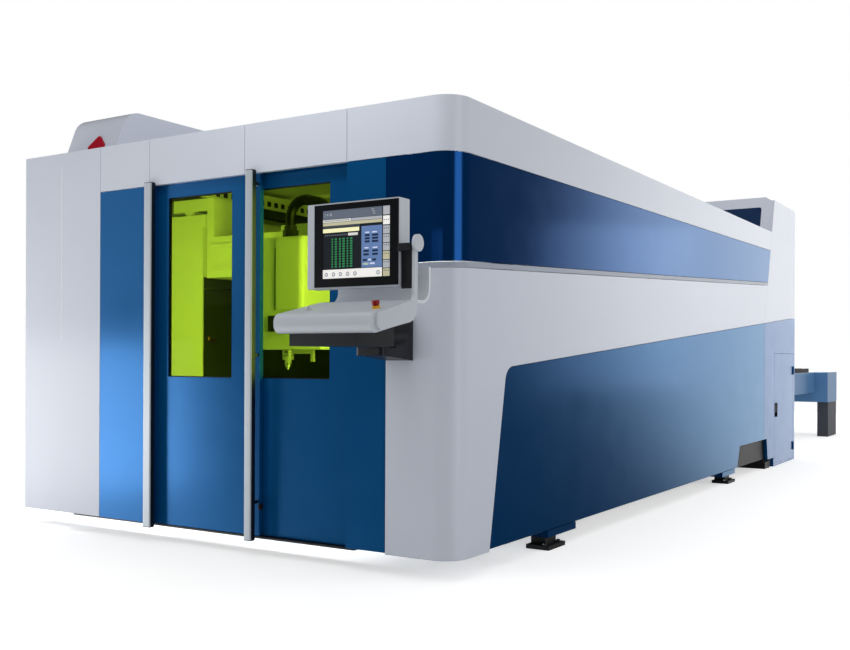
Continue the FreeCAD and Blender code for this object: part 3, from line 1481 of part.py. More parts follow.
def make_console():
    left = -S.console_left
    right = S.console_right
    front = -S.console_front
    back = front + S.console_depth
    thick = S.console_thick

    # Bracket on the corner column with an upright spigot and a curved gusset.
    bracket = new_body()
    reach = S.swivel_y + S.swivel_radius
    outline = [
        (0, S.bracket_bottom),
        (-reach, S.bracket_bottom + 22),
        (-reach, S.bracket_top),
        (0, S.bracket_top),
    ]
    width = S.corner_width - S.bracket_right
    pad(bracket, "YZ", outline, width, CORNER)
    edge = -S.swivel_y - S.swivel_radius
    fillet(bracket, 20, lambda c, e: near(c.y, edge) and is_upright(e))
    gusset = new_body()
    thick_z = S.bracket_top + S.bracket_rib
    outline = [
        (0, S.gusset_top),
        (-S.gusset_thick, S.gusset_top),
        (-S.gusset_thick, thick_z),
        (-S.gusset_reach, thick_z),
        (-S.gusset_reach, S.bracket_top - 1),
        (0, S.bracket_top - 1),
    ]
    pad(gusset, "YZ", outline, width, CORNER)
    fillet(gusset, S.gusset_bend, lambda c, e: near(c.y, -S.gusset_thick) and near(c.z, thick_z))
    spigot = rod((-S.swivel_x, -S.swivel_y, S.bracket_top - 5), S.spigot_radius, 55)
    keep(fuse(bracket, spigot, gusset), "console_bracket")

    # Arm: hub round the spigot, neck, and a wedge under the tray.
    arm_low = S.bracket_top + S.hair_gap
    arm_front = front + 60
    neck_back = back + 10
    wedge = new_body()
    outline = [
        (arm_front, arm_low),
        (arm_front, tray_slope(arm_front)),
        (back, tray_slope(back)),
        (neck_back, tray_slope(back)),
        (neck_back, arm_low),
    ]
    pad(wedge, "YZ", outline, S.wedge_left + S.wedge_right, -S.wedge_left)
    neck = block(
        (-S.swivel_x - S.swivel_radius, -S.swivel_x + S.swivel_radius),
        (neck_back - 5, -S.swivel_y),
        (arm_low, S.arm_top),
    )
    hub = rod((-S.swivel_x, -S.swivel_y, arm_low), S.swivel_radius, S.arm_top - arm_low)
    bore = rod((-S.swivel_x, -S.swivel_y, arm_low - 1), S.spigot_radius + S.hair_gap, 53)
    keep(cut(fuse(wedge, neck, hub), bore), "console_arm")

    # Tray with rounded nose and a slot for the keyboard drawer.
    tray = new_body()
    outline = [
        (front, tray_slope(front)),
        (back, tray_slope(back)),
        (back, tray_slope(back, thick)),
        (front, tray_slope(front, thick)),
    ]
    pad(tray, "YZ", outline, right - left, left)
    nose = [tray_slope(front), tray_slope(front, thick)]
    fillet(
        tray,
        S.nose_radius,
        lambda c, e: near(c.y, front) and (near(c.z, nose[0]) or near(c.z, nose[1])),
    )
    gap = S.hair_gap
    low = S.drawer_low
    high = low + S.drawer_height
    drawer_back = front + S.drawer_depth
    width = S.drawer_left + S.drawer_right

    def lying(near_y, far_y, under, over, start, length):
        """A block that lies along the slope of the tray."""
        body = new_body()
        outline = [
            (near_y, tray_slope(near_y, under)),
            (far_y, tray_slope(far_y, under)),
            (far_y, tray_slope(far_y, over)),
            (near_y, tray_slope(near_y, over)),
        ]
        pad(body, "YZ", outline, length, start)
        return body

    slot = lying(front - 9, drawer_back + 3, low - gap, high + gap, -S.drawer_left - gap, width + 2 * gap)
    keep(cut(tray, slot), "console_tray")

    # The drawer's front follows the rounded nose of the tray.
    blank = lying(front - 9, drawer_back, low, high, -S.drawer_left, width)
    drawer = doc.addObject("Part::MultiCommon", "Common")
    drawer.Shapes = [tray, blank]
    wall = 12
    well = lying(front + 32, drawer_back - wall, low + 10, high + 20, -S.drawer_left + wall, width - 2 * wall)
    keep(cut(drawer, well), "keyboard_drawer")

    # Curved panel that rises behind the monitor from the back of the tray.
    shell = new_body()
    floor = tray_slope(back, thick)
    behind = back + S.back_depth
    inner = behind - S.back_thick
    outline = [
        (back, floor - S.back_thick),
        (behind, floor - S.back_thick),
        (behind, S.back_top),
        (inner, S.back_top),
        (inner, floor),
        (back, floor),
    ]
    pad(shell, "YZ", outline, right + S.back_left, -S.back_left)
    fillet(shell, S.back_bend, lambda c, e: near(c.y, behind) and near(c.z, floor - S.back_thick))
    fillet(shell, S.back_bend - S.back_thick, lambda c, e: near(c.y, inner) and near(c.z, floor))
    keep(shell, "console_back")

    # Arm beside the screen: a cheek on the tray that bends up into a slim bar.
    pivot_y = -S.screen_plane + 15
    arm_back = back + 6
    arm_front = arm_back - S.side_arm_width
    cheek = arm_back - S.side_arm_reach - S.side_arm_width
    arm = new_body()
    outline = [
        (cheek, tray_slope(cheek, 6)),
        (arm_back, tray_slope(back)),
        (arm_back, S.side_arm_top),
        (arm_front, S.side_arm_top),
        (arm_front, tray_slope(back, thick)),
        (cheek, tray_slope(cheek, thick - 6)),
    ]
    pad(arm, "YZ", outline, S.side_arm_thick, right)
    heel = tray_slope(back)
    crook = tray_slope(back, thick)
    fillet(arm, S.side_arm_bend, lambda c, e: runs_across(e) and near(c.y, arm_back) and near(c.z, heel))
    fillet(arm, 30, lambda c, e: runs_across(e) and near(c.y, arm_front) and near(c.z, crook))
    fillet(arm, 28, lambda c, e: runs_across(e) and near(c.y, cheek))
    fillet(arm, 10, lambda c, e: runs_across(e) and near(c.z, S.side_arm_top))
    outer = right + S.side_arm_thick
    disc = rod((outer, pivot_y, S.pivot_height), S.pivot_radius, DISC_FACE - outer, "X")
    block_x = (S.monitor_right + gap, right)
    half = S.pivot_radius - 3
    knuckle = block(block_x, (pivot_y - half, arm_back), (S.pivot_height - half, S.side_arm_top - 12))
    spacer = block(block_x, (arm_back - S.spacer_thick, arm_back), (S.spacer_bottom, S.pivot_height - half))
    pin_start = S.monitor_right - 60
    pin = rod((pin_start, pivot_y, S.pivot_height), 10, block_x[0] - pin_start + 1, "X")
    keep(fuse(arm, disc, knuckle, spacer, pin), "monitor_arm")

    # Monitor.
    housing = new_body()
    outline = rectangle((-S.monitor_left, S.monitor_right), (S.monitor_bottom, S.monitor_top))
    pad(housing, "XZ", outline, S.monitor_depth, S.screen_plane, backwards=True)
    fillet(housing, S.monitor_radius, lambda c, e: abs(e.tangentAt(e.FirstParameter).y) > 0.99)
    bore = rod((pin_start - 2, pivot_y, S.pivot_height), 10 + gap, 70, "X")
    keep(cut(housing, bore), "monitor_housing")
    bezel = new_body()
    face = S.screen_plane + S.bezel_thick
    outline = rectangle((-S.bezel_left, S.bezel_right), (S.monitor_bottom + 6, S.monitor_top - 6))
    pad(bezel, "XZ", outline, S.bezel_thick, face, backwards=True)
    screen_x = (-S.screen_left, S.screen_right)
    screen_z = (S.screen_bottom, S.screen_top)
    pocket(bezel, "XZ", rectangle(screen_x, screen_z), S.bezel_thick + 2, face + 1)
    keep(bezel, "monitor_bezel")
    screen = block(screen_x, (-S.screen_plane - 3, -S.screen_plane), screen_z)
    keep(screen, "monitor_screen")

    # Stop button and key switch stand square to the tray.
    y = -S.stop_y
    seat = tray_slope(y, thick)
    lean = S.console_rise / S.console_depth

    def standing(x, lift, radius, length):
        """A round part on the tray, square to its slope."""
        return tilted(rod((x, y - lean * lift, seat + lift), radius, length))

    collar = standing(S.stop_x, 0, S.stop_radius, S.stop_collar_height)
    neck = S.stop_radius - 3
    hole = standing(S.stop_x, -1, neck + gap, S.stop_collar_height + 3)
    keep(cut(collar, hole), "stop_collar")
    low = S.stop_travel + gap
    high = S.stop_collar_height + low
    stem = standing(S.stop_x, low, neck, high - low + 1)
    keep(fuse(stem, standing(S.stop_x, high, S.stop_radius, 14)), "stop_button")
    keep(fuse(standing(-S.key_x, gap, 12, 6), standing(-S.key_x, 6, 7, 8)), "key_switch")


make_front_skins()
make_corner_skins()
make_trim_strip()
make_side_skins()
make_left_and_roof()
make_duct()
make_doors()
make_frame()
make_feet()
make_bed()
make_tracks()
make_pallet("pallet_lower", S.pallet_in, S.lower_pallet_bottom)
make_pallet("pallet_upper", S.pallet_out, S.upper_pallet_bottom)
make_gantry()
make_portal_sides()
make_portal()
make_console()
doc.recompute()

for thing in doc.Objects:
    if "Invalid" in thing.State or "Error" in thing.State:
        raise ValueError(thing.Label + " has not been worked out")

os.makedirs("parts", exist_ok=True)
for piece in made:
    if piece.Shape.isNull() or not piece.Shape.isValid():
        raise ValueError(piece.Label + " is not a valid shape")
    piece.Shape.exportStep("parts/" + piece.Label + ".step")
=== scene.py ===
import bpy
import bmesh
import math
from mathutils import Matrix, Vector


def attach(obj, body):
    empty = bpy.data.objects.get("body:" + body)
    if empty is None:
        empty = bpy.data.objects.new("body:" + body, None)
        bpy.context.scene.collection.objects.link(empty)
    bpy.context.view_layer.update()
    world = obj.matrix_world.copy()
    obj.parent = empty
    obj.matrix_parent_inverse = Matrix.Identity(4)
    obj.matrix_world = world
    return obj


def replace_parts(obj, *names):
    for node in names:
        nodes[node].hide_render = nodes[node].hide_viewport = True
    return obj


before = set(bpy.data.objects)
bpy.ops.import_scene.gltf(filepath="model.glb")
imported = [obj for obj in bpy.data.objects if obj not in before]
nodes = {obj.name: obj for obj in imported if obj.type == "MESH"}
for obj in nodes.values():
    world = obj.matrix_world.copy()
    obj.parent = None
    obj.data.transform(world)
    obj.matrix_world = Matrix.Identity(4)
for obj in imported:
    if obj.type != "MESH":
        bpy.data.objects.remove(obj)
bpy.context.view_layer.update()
cornerPoints = [vertex.co for vertex in nodes["corner_column"].data.vertices]
toFrame = Vector((max(point.x for point in cornerPoints),
                  min(point.y for point in cornerPoints), 0.0))  # front right corner, on the floor
print("frame loaded:", len(nodes), "pieces")


def linear(hexColour):
    # sRGB hex to the linear colour that a socket takes
    values = [int(hexColour[i:i + 2], 16) / 255 for i in (1, 3, 5)]
    return [v / 12.92 if v <= 0.04045 else ((v + 0.055) / 1.055) ** 2.4 for v in values] + [1.0]


def addNode(tree, kind, settings=None, links=None):
    # sockets go by name or number: a Mix takes its numbers at 2 and 3 and its colours at 6 and 7
    node = tree.nodes.new(kind)
    for name, value in (settings or {}).items():
        if isinstance(name, int) or name in node.inputs:
            node.inputs[name].default_value = value
        else:
            setattr(node, name, value)
    for name, socket in (links or {}).items():
        tree.links.new(socket, node.inputs[name])
    return node


def startMaterial(name):
    material = bpy.data.materials.new(name)
    material.use_nodes = True
    tree = material.node_tree
    tree.nodes.clear()
    output = addNode(tree, "ShaderNodeOutputMaterial")
    place = addNode(tree, "ShaderNodeTexCoord")
    return material, tree, output, place.outputs["Object"]


# patterns in millimetres, then how far a smear lowers and raises the roughness
sheet = {"cloud": 625, "peel": 2.38, "smear": 142.9, "depth": 0.4, "clean": 0.0175,
         "dusty": 0.049}


def paintedSheet(name, light, dark, rough, grain=0.05, level=0.35, metallic=0.0, sheen="#ffffff"):
    # powder-coated sheet steel, sprayed and baked: a fine orange peel and slow changes of tone
    material, tree, output, place = startMaterial(name)
    cloud = addNode(tree, "ShaderNodeTexNoise", {"Scale": 1000 / sheet["cloud"], "Detail": 3.0},
                    {"Vector": place})
    tone = addNode(tree, "ShaderNodeMix", {"data_type": "RGBA", 6: linear(light), 7: linear(dark)},
                   {0: cloud.outputs["Fac"]})
    peel = addNode(tree, "ShaderNodeTexNoise", {"Scale": 1000 / sheet["peel"], "Detail": 2.0},
                   {"Vector": place})
    smear = addNode(tree, "ShaderNodeTexNoise", {"Scale": 1000 / sheet["smear"], "Detail": 5.0},
                    {"Vector": place})
    roughRange = addNode(tree, "ShaderNodeMapRange",
                         {"To Min": rough - sheet["clean"], "To Max": rough + sheet["dusty"]},
                         {"Value": smear.outputs["Fac"]})
    bump = addNode(tree, "ShaderNodeBump", {"Strength": grain, "Distance": sheet["depth"] / 1000},
                   {"Height": peel.outputs["Fac"]})
    shader = addNode(tree, "ShaderNodeBsdfPrincipled",
                     {"Specular IOR Level": level, "Metallic": metallic,
                      "Specular Tint": linear(sheen)},
                     {"Base Color": tone.outputs[2], "Roughness": roughRange.outputs["Result"],
                      "Normal": bump.outputs["Normal"]})
    tree.links.new(shader.outputs["BSDF"], output.inputs["Surface"])
    return material


# depth of the lines in millimetres, and how far they lower and raise the roughness
drawn = {"depth": 0.4, "polished": 0.06, "dull": 0.1}


def drawnMetal(name, light, dark, rough, stretch, spacing=16.67, strength=0.12, metallic=1.0):
    # rolled or extruded metal: lines that run one way, drawn as many millimetres apart as they
    # need to show, because the real ones are finer than a pixel
    material, tree, output, place = startMaterial(name)
    turn = addNode(tree, "ShaderNodeMapping", {"Scale": stretch}, {"Vector": place})
    lines = addNode(tree, "ShaderNodeTexNoise", {"Scale": 1000 / spacing, "Detail": 4.0},
                    {"Vector": turn.outputs["Vector"]})
    tone = addNode(tree, "ShaderNodeMix", {"data_type": "RGBA", 6: linear(light), 7: linear(dark)},
                   {0: lines.outputs["Fac"]})
    roughRange = addNode(tree, "ShaderNodeMapRange",
                         {"To Min": rough - drawn["polished"], "To Max": rough + drawn["dull"]},
                         {"Value": lines.outputs["Fac"]})
    bump = addNode(tree, "ShaderNodeBump",
                   {"Strength": strength, "Distance": drawn["depth"] / 1000},
                   {"Height": lines.outputs["Fac"]})
    shader = addNode(tree, "ShaderNodeBsdfPrincipled", {"Metallic": metallic},
                     {"Base Color": tone.outputs[2], "Roughness": roughRange.outputs["Result"],
                      "Normal": bump.outputs["Normal"]})
    tree.links.new(shader.outputs["BSDF"], output.inputs["Surface"])
    return material


# clouds of tone and depth of the grit in millimetres, and the shine
moulded = {"cloud": 33.3, "depth": 0.3, "level": 0.3}


def mouldedPlastic(name, light, dark, rough, grain=0.25, grit=1.11, coat=0.0):
    # injection-moulded plastic or rubber with a spark-eroded grain, its grit in millimetres
    material, tree, output, place = startMaterial(name)
    cloud = addNode(tree, "ShaderNodeTexNoise", {"Scale": 1000 / moulded["cloud"], "Detail": 3.0},
                    {"Vector": place})
    tone = addNode(tree, "ShaderNodeMix", {"data_type": "RGBA", 6: linear(light), 7: linear(dark)},
                   {0: cloud.outputs["Fac"]})
    texture = addNode(tree, "ShaderNodeTexVoronoi", {"Scale": 1000 / grit}, {"Vector": place})
    bump = addNode(tree, "ShaderNodeBump",
                   {"Strength": grain, "Distance": moulded["depth"] / 1000},
                   {"Height": texture.outputs["Distance"]})
    shader = addNode(tree, "ShaderNodeBsdfPrincipled",
                     {"Roughness": rough, "Coat Weight": coat,
                      "Specular IOR Level": moulded["level"]},
                     {"Base Color": tone.outputs[2], "Normal": bump.outputs["Normal"]})
    tree.links.new(shader.outputs["BSDF"], output.inputs["Surface"])
    return material


# ripples in millimetres; the low IOR keeps the pane clear where it is seen at a slant
pane = {"ripple": 333, "depth": 1.0, "waviness": 0.02, "rough": 0.03, "ior": 1.1}


def laserGlass(name, colour):
    # dyed acrylic that stops the laser's wavelength: clear, strongly tinted, glossy
    material, tree, output, place = startMaterial(name)
    tint = addNode(tree, "ShaderNodeBsdfTransparent", {"Color": linear(colour)})
    ripple = addNode(tree, "ShaderNodeTexNoise", {"Scale": 1000 / pane["ripple"]},
                     {"Vector": place})
    bump = addNode(tree, "ShaderNodeBump",
                   {"Strength": pane["waviness"], "Distance": pane["depth"] / 1000},
                   {"Height": ripple.outputs["Fac"]})
    shine = addNode(tree, "ShaderNodeBsdfGlossy", {"Roughness": pane["rough"]},
                    {"Normal": bump.outputs["Normal"]})
    edge = addNode(tree, "ShaderNodeFresnel", {"IOR": pane["ior"]})
    mix = addNode(tree, "ShaderNodeMixShader", {},
                  {0: edge.outputs["Fac"], 1: tint.outputs["BSDF"], 2: shine.outputs["BSDF"]})
    tree.links.new(mix.outputs["Shader"], output.inputs["Surface"])
    return material


lit = {"dot": 1.43, "rough": 0.25, "dim": 0.8}  # dots in millimetres, share of light of dim ones


def litField(name, colour, strength=0.6):
    # a lit field of the display behind its glass, with a faint dot pattern
    material, tree, output, place = startMaterial(name)
    bright = linear(colour)
    dim = [value * lit["dim"] for value in bright[:3]] + [1.0]
    dots = addNode(tree, "ShaderNodeTexNoise", {"Scale": 1000 / lit["dot"]}, {"Vector": place})
    tone = addNode(tree, "ShaderNodeMix", {"data_type": "RGBA", 6: bright, 7: dim},
                   {0: dots.outputs["Fac"]})
    shader = addNode(tree, "ShaderNodeBsdfPrincipled",
                     {"Roughness": lit["rough"], "Emission Strength": strength},
                     {"Base Color": tone.outputs[2], "Emission Color": tone.outputs[2]})
    tree.links.new(shader.outputs["BSDF"], output.inputs["Surface"])
    return material


finishes = {
    # powder coat, cool white and semi-gloss: soft streaks of light on the flat skins
    "silver": paintedSheet("powderCoatWhite", "#d8dde9", "#d3d9e6", 0.24),
    "silverGloss": paintedSheet("powderCoatWhiteHeader", "#dadfea", "#d5dbe7", 0.22),
    # metallic powder coat and lacquer: blues that turn dark or pale with what they mirror
    "blue": paintedSheet("powderCoatBlue", "#08609f", "#075c99", 0.2, metallic=0.45),
    # painted shade: a darker, more metallic copy of the front blue for the side skins and foot
    # brackets
    "blueShadedCopy": paintedSheet("powderCoatBluePaintedShade", "#064f8c", "#054b86", 0.17, metallic=0.6,
                             sheen="#dcf7ff"),
    "blueGloss": paintedSheet("lacquerBlue", "#06478a", "#064383", 0.12, grain=0.02, level=0.4,
                              metallic=0.7, sheen="#ebfaff"),
    # plain powder coat, enamel and primer: even and dull
    "navy": paintedSheet("powderCoatNavy", "#0d335d", "#0b2d53", 0.35),
    "changer": paintedSheet("powderCoatPaleBlue", "#5f8fc0", "#5886b6", 0.4),
    "interior": paintedSheet("enamelInterior", "#d9dbdc", "#c9cccf", 0.45),
    "frameGrey": paintedSheet("primerGrey", "#63666d", "#56595f", 0.55),
    "blackSteel": paintedSheet("blackSteel", "#15161a", "#0d0e11", 0.4),
    "consoleSilver": paintedSheet("consoleSilver", "#cfd5dd", "#c6ccd5", 0.34),
    "consoleDark": paintedSheet("consoleDark", "#24262c", "#1a1c21", 0.4),
    "trim": paintedSheet("trimSilver", "#aab1bf", "#9ea6b5", 0.3),
    # anodised bars, ground plate, slats scaled by the laser, turned fittings: fine drawn lines
    "extrusion": drawnMetal("anodisedExtrusion", "#c6ced5", "#b9c1c9", 0.4, (1.0, 1.0, 0.02),
                            metallic=0.3),
    "steel": drawnMetal("groundSteel", "#a9abb0", "#8d9096", 0.3, (0.05, 1.0, 1.0)),
    "slat": drawnMetal("scaledSlatSteel", "#5b5652", "#3f3b39", 0.55, (1.0, 1.0, 1.0), 40, 0.5),
    "copper": drawnMetal("turnedCopper", "#c7835a", "#b06d45", 0.25, (1.0, 1.0, 30.0)),
    # rubber and plastic mouldings: black and matt, or clear red and glossy
    "rubber": mouldedPlastic("blackRubber", "#0b0b0c", "#060606", 0.6),
    "hose": mouldedPlastic("blackHose", "#0d0e0f", "#070708", 0.4),
    "bezel": mouldedPlastic("bezelBlack", "#090c14", "#06080e", 0.32),
    "latch": mouldedPlastic("latchBlack", "#101216", "#0a0b0e", 0.5),
    "red": mouldedPlastic("lensRed", "#c2102c", "#a80a22", 0.18, grain=0.03, coat=0.5),
    "stopRed": mouldedPlastic("stopRed", "#9c0f1a", "#8a0b15", 0.25, grain=0.05, coat=0.3),
    "yellow": mouldedPlastic("collarYellow", "#f0b513", "#e3a60c", 0.4),
    "glass": laserGlass("dyedAcrylic", "#dbee74"),
    # lit fields of the display
    "screenDark": litField("screenDark", "#20262c", 0.25),
    "litHeader": litField("screenHeader", "#5f6775"),
    "litWhite": litField("screenWhite", "#eceae6"),
    "litPale": litField("screenPale", "#cfcfca"),
    "litGrey": litField("screenGrey", "#a8abb0"),
    "litTan": litField("screenTan", "#b8b496"),
    "litSlate": litField("screenSlate", "#3f444c"),
    "litYellow": litField("screenYellow", "#f0edbb"),
    "litBlue": litField("screenBlue", "#5f7aa8"),
    "litNavy": litField("screenNavy", "#1f2c45"),
    "litLilac": litField("screenLilac", "#c7cfe6"),
    "litGreen": litField("screenGreen", "#2f8a52"),
    "litMark": litField("screenMark", "#5c6270"),
    "litRing": litField("screenRing", "#8c9096"),
    "litCore": litField("screenCore", "#d9dadc"),
    # small parts: silver paint on the head, satin chrome, dull greys and blacks; the bar sides'
    # navy and the bed's dark sheet are painted shade, the console back's pale grey is painted light
    "headSilver": paintedSheet("headSilver", "#c4c8cd", "#b6babf", 0.35),
    "chrome": drawnMetal("satinChrome", "#dfe1e4", "#cccfd3", 0.3, (1.0, 1.0, 8.0), metallic=0.5),
    "legGrey": paintedSheet("changerLegGrey", "#4b4e59", "#42454f", 0.5),
    # painted shade: dark navy on the side faces of the jamb and handle bars, for the shade by the
    # leaf
    "barSidePaintedShade": paintedSheet("paintedShadeBarSide", "#0d1a2c", "#0a1524", 0.4),
    # painted light: a paler copy of the console grey that lifts the back panel out of the shadow
    "backPaintedLight": paintedSheet("consolePaintedLightGrey", "#e6eaf0", "#dce1e8", 0.4),
    "stripe": paintedSheet("stripeWhite", "#f4f5f8", "#ebedf2", 0.35),
    # painted shade: a near-black sheet that stands for the shade on the bed's inner wall
    "guardPaintedShade": paintedSheet("guardPaintedShade", "#2b3138", "#20252b", 0.5),
    "glandGrey": mouldedPlastic("glandNylon", "#2a2d31", "#1e2125", 0.45),
    "connector": mouldedPlastic("connectorBlack", "#16181b", "#0f1113", 0.55, grit=3.33),
}

wears = {
    "silver": ["front_column", "side_panel_middle", "corner_column", "left_side_panels",
               "portal_side_upper", "portal_rear_panel", "roof_duct"],
    "silverGloss": ["header_panels", "header_corner", "side_header", "roof_panels", "portal_hood"],
    "blue": ["front_panel_left", "front_panel_right", "door_leaf_left", "door_leaf_right",
             "portal_side_lower", "portal_door"],
    "blueShadedCopy": ["side_panel_lower", "foot_brackets"],
    "blueGloss": ["band_corner", "side_band"],
    "navy": ["portal_inset"],
    "changer": ["changer_frame", "pallet_tracks"],
    "interior": ["machine_bed", "gantry_beam", "cross_carriage", "z_slide"],
    "frameGrey": ["enclosure_frame"],
    "blackSteel": ["levelling_feet", "door_sill"],
    "headSilver": ["cutting_head"],
    "consoleSilver": ["console_tray", "keyboard_drawer", "monitor_arm", "monitor_housing"],
    # the console back wears the paler copy, painted light under the monitor
    "backPaintedLight": ["console_back"],
    "consoleDark": ["console_bracket", "console_arm"],
    "trim": ["trim_strip"],
    "extrusion": ["door_jamb_profile", "door_handle_bar", "door_track"],
    "steel": ["pallet_gate"],
    "chrome": ["nozzle", "key_switch"],
    "slat": ["pallet_lower", "pallet_upper"],
    "rubber": ["window_seal_left", "window_seal_right"],
    "hose": ["supply_hose"],
    "bezel": ["monitor_bezel"],
    "latch": ["portal_door_latch"],
    "red": ["signal_lens"],
    "stopRed": ["stop_button"],
    "yellow": ["stop_collar"],
    "glass": ["window_left", "window_right"],
    "screenDark": ["monitor_screen"],
}
for finish, names in wears.items():
    for name in names:
        mesh = nodes[name].data
        mesh.materials.clear()
        mesh.materials.append(finishes[finish])

# parts of a piece with a second finish: legs, arm plate and knuckle, sides of the two bars,
# whose dark navy is painted shade; places in millimetres, and how far sideways a bar's side faces
split = {"legTop": 435, "arm": (1240, 1410), "silverFrom": 118.5, "armFront": -545, "slack": 0.5,
         "sideways": 0.9}


def refinish(name, finish, chosen):
    mesh = nodes[name].data
    mesh.materials.append(finishes[finish])
    for face in mesh.polygons:
        if chosen(face):
            face.material_index = 1


def between(face, low, high):
    height = (face.center.z - toFrame.z) * 1000
    return low - split["slack"] <= height <= high + split["slack"]


def behindTray(face):
    across = (face.center.x - toFrame.x) * 1000
    back = (face.center.y - toFrame.y) * 1000
    return (between(face, *split["arm"]) and across < split["silverFrom"]
            and back > split["armFront"])


refinish("changer_frame", "legGrey", lambda face: between(face, 0, split["legTop"]))
refinish("monitor_arm", "consoleDark", behindTray)
for name in ("door_jamb_profile", "door_handle_bar"):
    refinish(name, "barSidePaintedShade", lambda face: abs(face.normal.x) > split["sideways"])
print("finishes set")


def finishPiece(bm, name, body, finish):
    bmesh.ops.recalc_face_normals(bm, faces=bm.faces)
    mesh = bpy.data.meshes.new(name)
    bm.to_mesh(mesh)
    bm.free()
    piece = bpy.data.objects.new(name, mesh)
    bpy.context.scene.collection.objects.link(piece)
    mesh.materials.append(finishes[finish])
    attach(piece, body)
    return piece


def millimetres(x, y, z):
    # every place below is in millimetres from the machine's front right corner, on the floor
    return Vector((x, y, z)) / 1000 + toFrame


def boxOf(name):
    # the low and the high corner of a CAD piece, in the same millimetres
    axes = list(zip(*(vertex.co for vertex in nodes[name].data.vertices)))
    return [(Vector([pick(axis) for axis in axes]) - toFrame) * 1000 for pick in (min, max)]


def addBlock(bm, low, high):
    a = millimetres(*low)
    b = millimetres(*high)
    size = Matrix.Diagonal(((b - a).x, (b - a).y, (b - a).z, 1.0))
    bmesh.ops.create_cube(bm, size=1.0, matrix=Matrix.Translation((a + b) / 2) @ size)


def addRod(bm, start, end, radius, sides=24):
    a = millimetres(*start)
    b = millimetres(*end)
    turn = (b - a).to_track_quat("Z", "Y").to_matrix().to_4x4()
    bmesh.ops.create_cone(bm, cap_ends=True, segments=sides, radius1=radius / 1000,
                          radius2=radius / 1000, depth=(b - a).length,
                          matrix=Matrix.Translation((a + b) / 2) @ turn)


def softenEdges(bm, width, sharpAngle=0.6):
    # a small round of two facets on the edges that turn by more than the angle, in radians
    sharp = [edge for edge in bm.edges if edge.calc_face_angle(0) > sharpAngle]
    bmesh.ops.bevel(bm, geom=sharp, offset=width / 1000, affect="EDGES", segments=2, profile=0.5,
                    material=-1)


# thin line down the left column
pinstripe = {"x": (-2578, -2573), "z": (1060, 2045), "proud": 0.6}
bm = bmesh.new()
addBlock(bm, (pinstripe["x"][0], -pinstripe["proud"], pinstripe["z"][0]),
         (pinstripe["x"][1], 0, pinstripe["z"][1]))
finishPiece(bm, "column_stripe", "machine", "stripe")

# black plastic caps on the ends of the two bars, with where each cap's back lies and its body
endCaps = {"bars": {"jamb": ("door_jamb_profile", -2, "machine"),
                    "handle": ("door_handle_bar", -6, "door_left")},
           "thick": 3.5, "inset": 1, "soft": 1}
for barName, (barNode, back, body) in endCaps["bars"].items():
    bm = bmesh.new()
    low, high = boxOf(barNode)
    for foot in (low.z - endCaps["thick"], high.z):
        addBlock(bm, (low.x + endCaps["inset"], low.y + endCaps["inset"], foot),
                 (high.x - endCaps["inset"], back, foot + endCaps["thick"]))
    softenEdges(bm, endCaps["soft"])
    finishPiece(bm, barName + "_end_caps", body, "latch")

# lock tab low on the left leaf, with its pin
lockTab = {"x": (-1126, -1104), "y": (18, 32), "z": (228, 258), "soft": 2, "pin": 5, "pinReach": 3}
bm = bmesh.new()
addBlock(bm, *zip(lockTab["x"], lockTab["y"], lockTab["z"]))
softenEdges(bm, lockTab["soft"])
pinX = sum(lockTab["x"]) / 2
pinZ = sum(lockTab["z"]) / 2
addRod(bm, (pinX, lockTab["y"][0] - lockTab["pinReach"], pinZ), (pinX, lockTab["y"][0], pinZ),
       lockTab["pin"])
finishPiece(bm, "leaf_lock_tab", "door_left", "latch")
print("bar caps and lock tab made")

# corrugated supply hose over the head, in the place of the plain one
hose = {"start": (-1575, 800, 1660), "radius": 31, "rib": 3.5, "pitch": 10, "sides": 20,
        "lean": math.radians(14), "bend": 100, "rise": 120, "run": 80, "fall": 100.65}
quarter = math.pi / 2
hoseRuns = [(hose["rise"], 0),
            (hose["bend"] * (quarter + hose["lean"]), quarter + hose["lean"]),
            (hose["run"], 0),
            (hose["bend"] * (quarter - hose["lean"]), quarter - hose["lean"]),
            (hose["fall"], 0)]  # length and bend of each run
bm = bmesh.new()
place = Matrix.Translation(millimetres(*hose["start"]))
shown = place @ Matrix.Scale(hose["radius"] / 1000, 4)
bmesh.ops.create_circle(bm, cap_ends=True, segments=hose["sides"], radius=1.0, matrix=shown)
edges = bm.edges[:]
ringNumber = 0
for length, bend in hoseRuns:
    steps = round(2 * length / hose["pitch"])
    part = 2 * hose["bend"] * math.sin(bend / steps / 2) if bend else length / steps
    half = Matrix.Rotation(bend / steps / 2, 4, "Y")
    for step in range(steps):
        ringNumber += 1
        place = place @ half @ Matrix.Translation((0, 0, part / 1000)) @ half
        radius = hose["radius"] - hose["rib"] * (ringNumber % 2)
        moved = place @ Matrix.Scale(radius / 1000, 4)
        grown = bmesh.ops.extrude_edge_only(bm, edges=edges)["geom"]
        edges = [item for item in grown if isinstance(item, bmesh.types.BMEdge)]
        verts = [item for item in grown if isinstance(item, bmesh.types.BMVert)]
        bmesh.ops.transform(bm, matrix=moved @ shown.inverted(), verts=verts)
        shown = moved
bmesh.ops.holes_fill(bm, edges=edges)
for face in bm.faces:
    face.smooth = len(face.verts) == 4
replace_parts(finishPiece(bm, "corrugated_hose", "head", "hose"), "supply_hose")

# screwed gland at each end of the hose, with its x and how tall and wide it is drawn:
# flange, hexagon nut and sealing collar, each with its radius, height and sides
gland = {"ends": {"a": (-1575, 1.0, 1.0), "b": (-1297.4, 0.72, 0.88)}, "y": 800, "z": 1660,
         "stack": ((42, 10, 32), (47, 40, 6), (37, 24, 32)), "soft": 1.5}
for end, (x, tall, wide) in gland["ends"].items():
    bm = bmesh.new()
    z = gland["z"]
    for radius, height, sides in gland["stack"]:
        addRod(bm, (x, gland["y"], z), (x, gland["y"], z + height * tall), radius * wide, sides)
        z += height * tall
    softenEdges(bm, gland["soft"])
    finishPiece(bm, "hose_gland_" + end, "head", "glandGrey")
print("hose made")

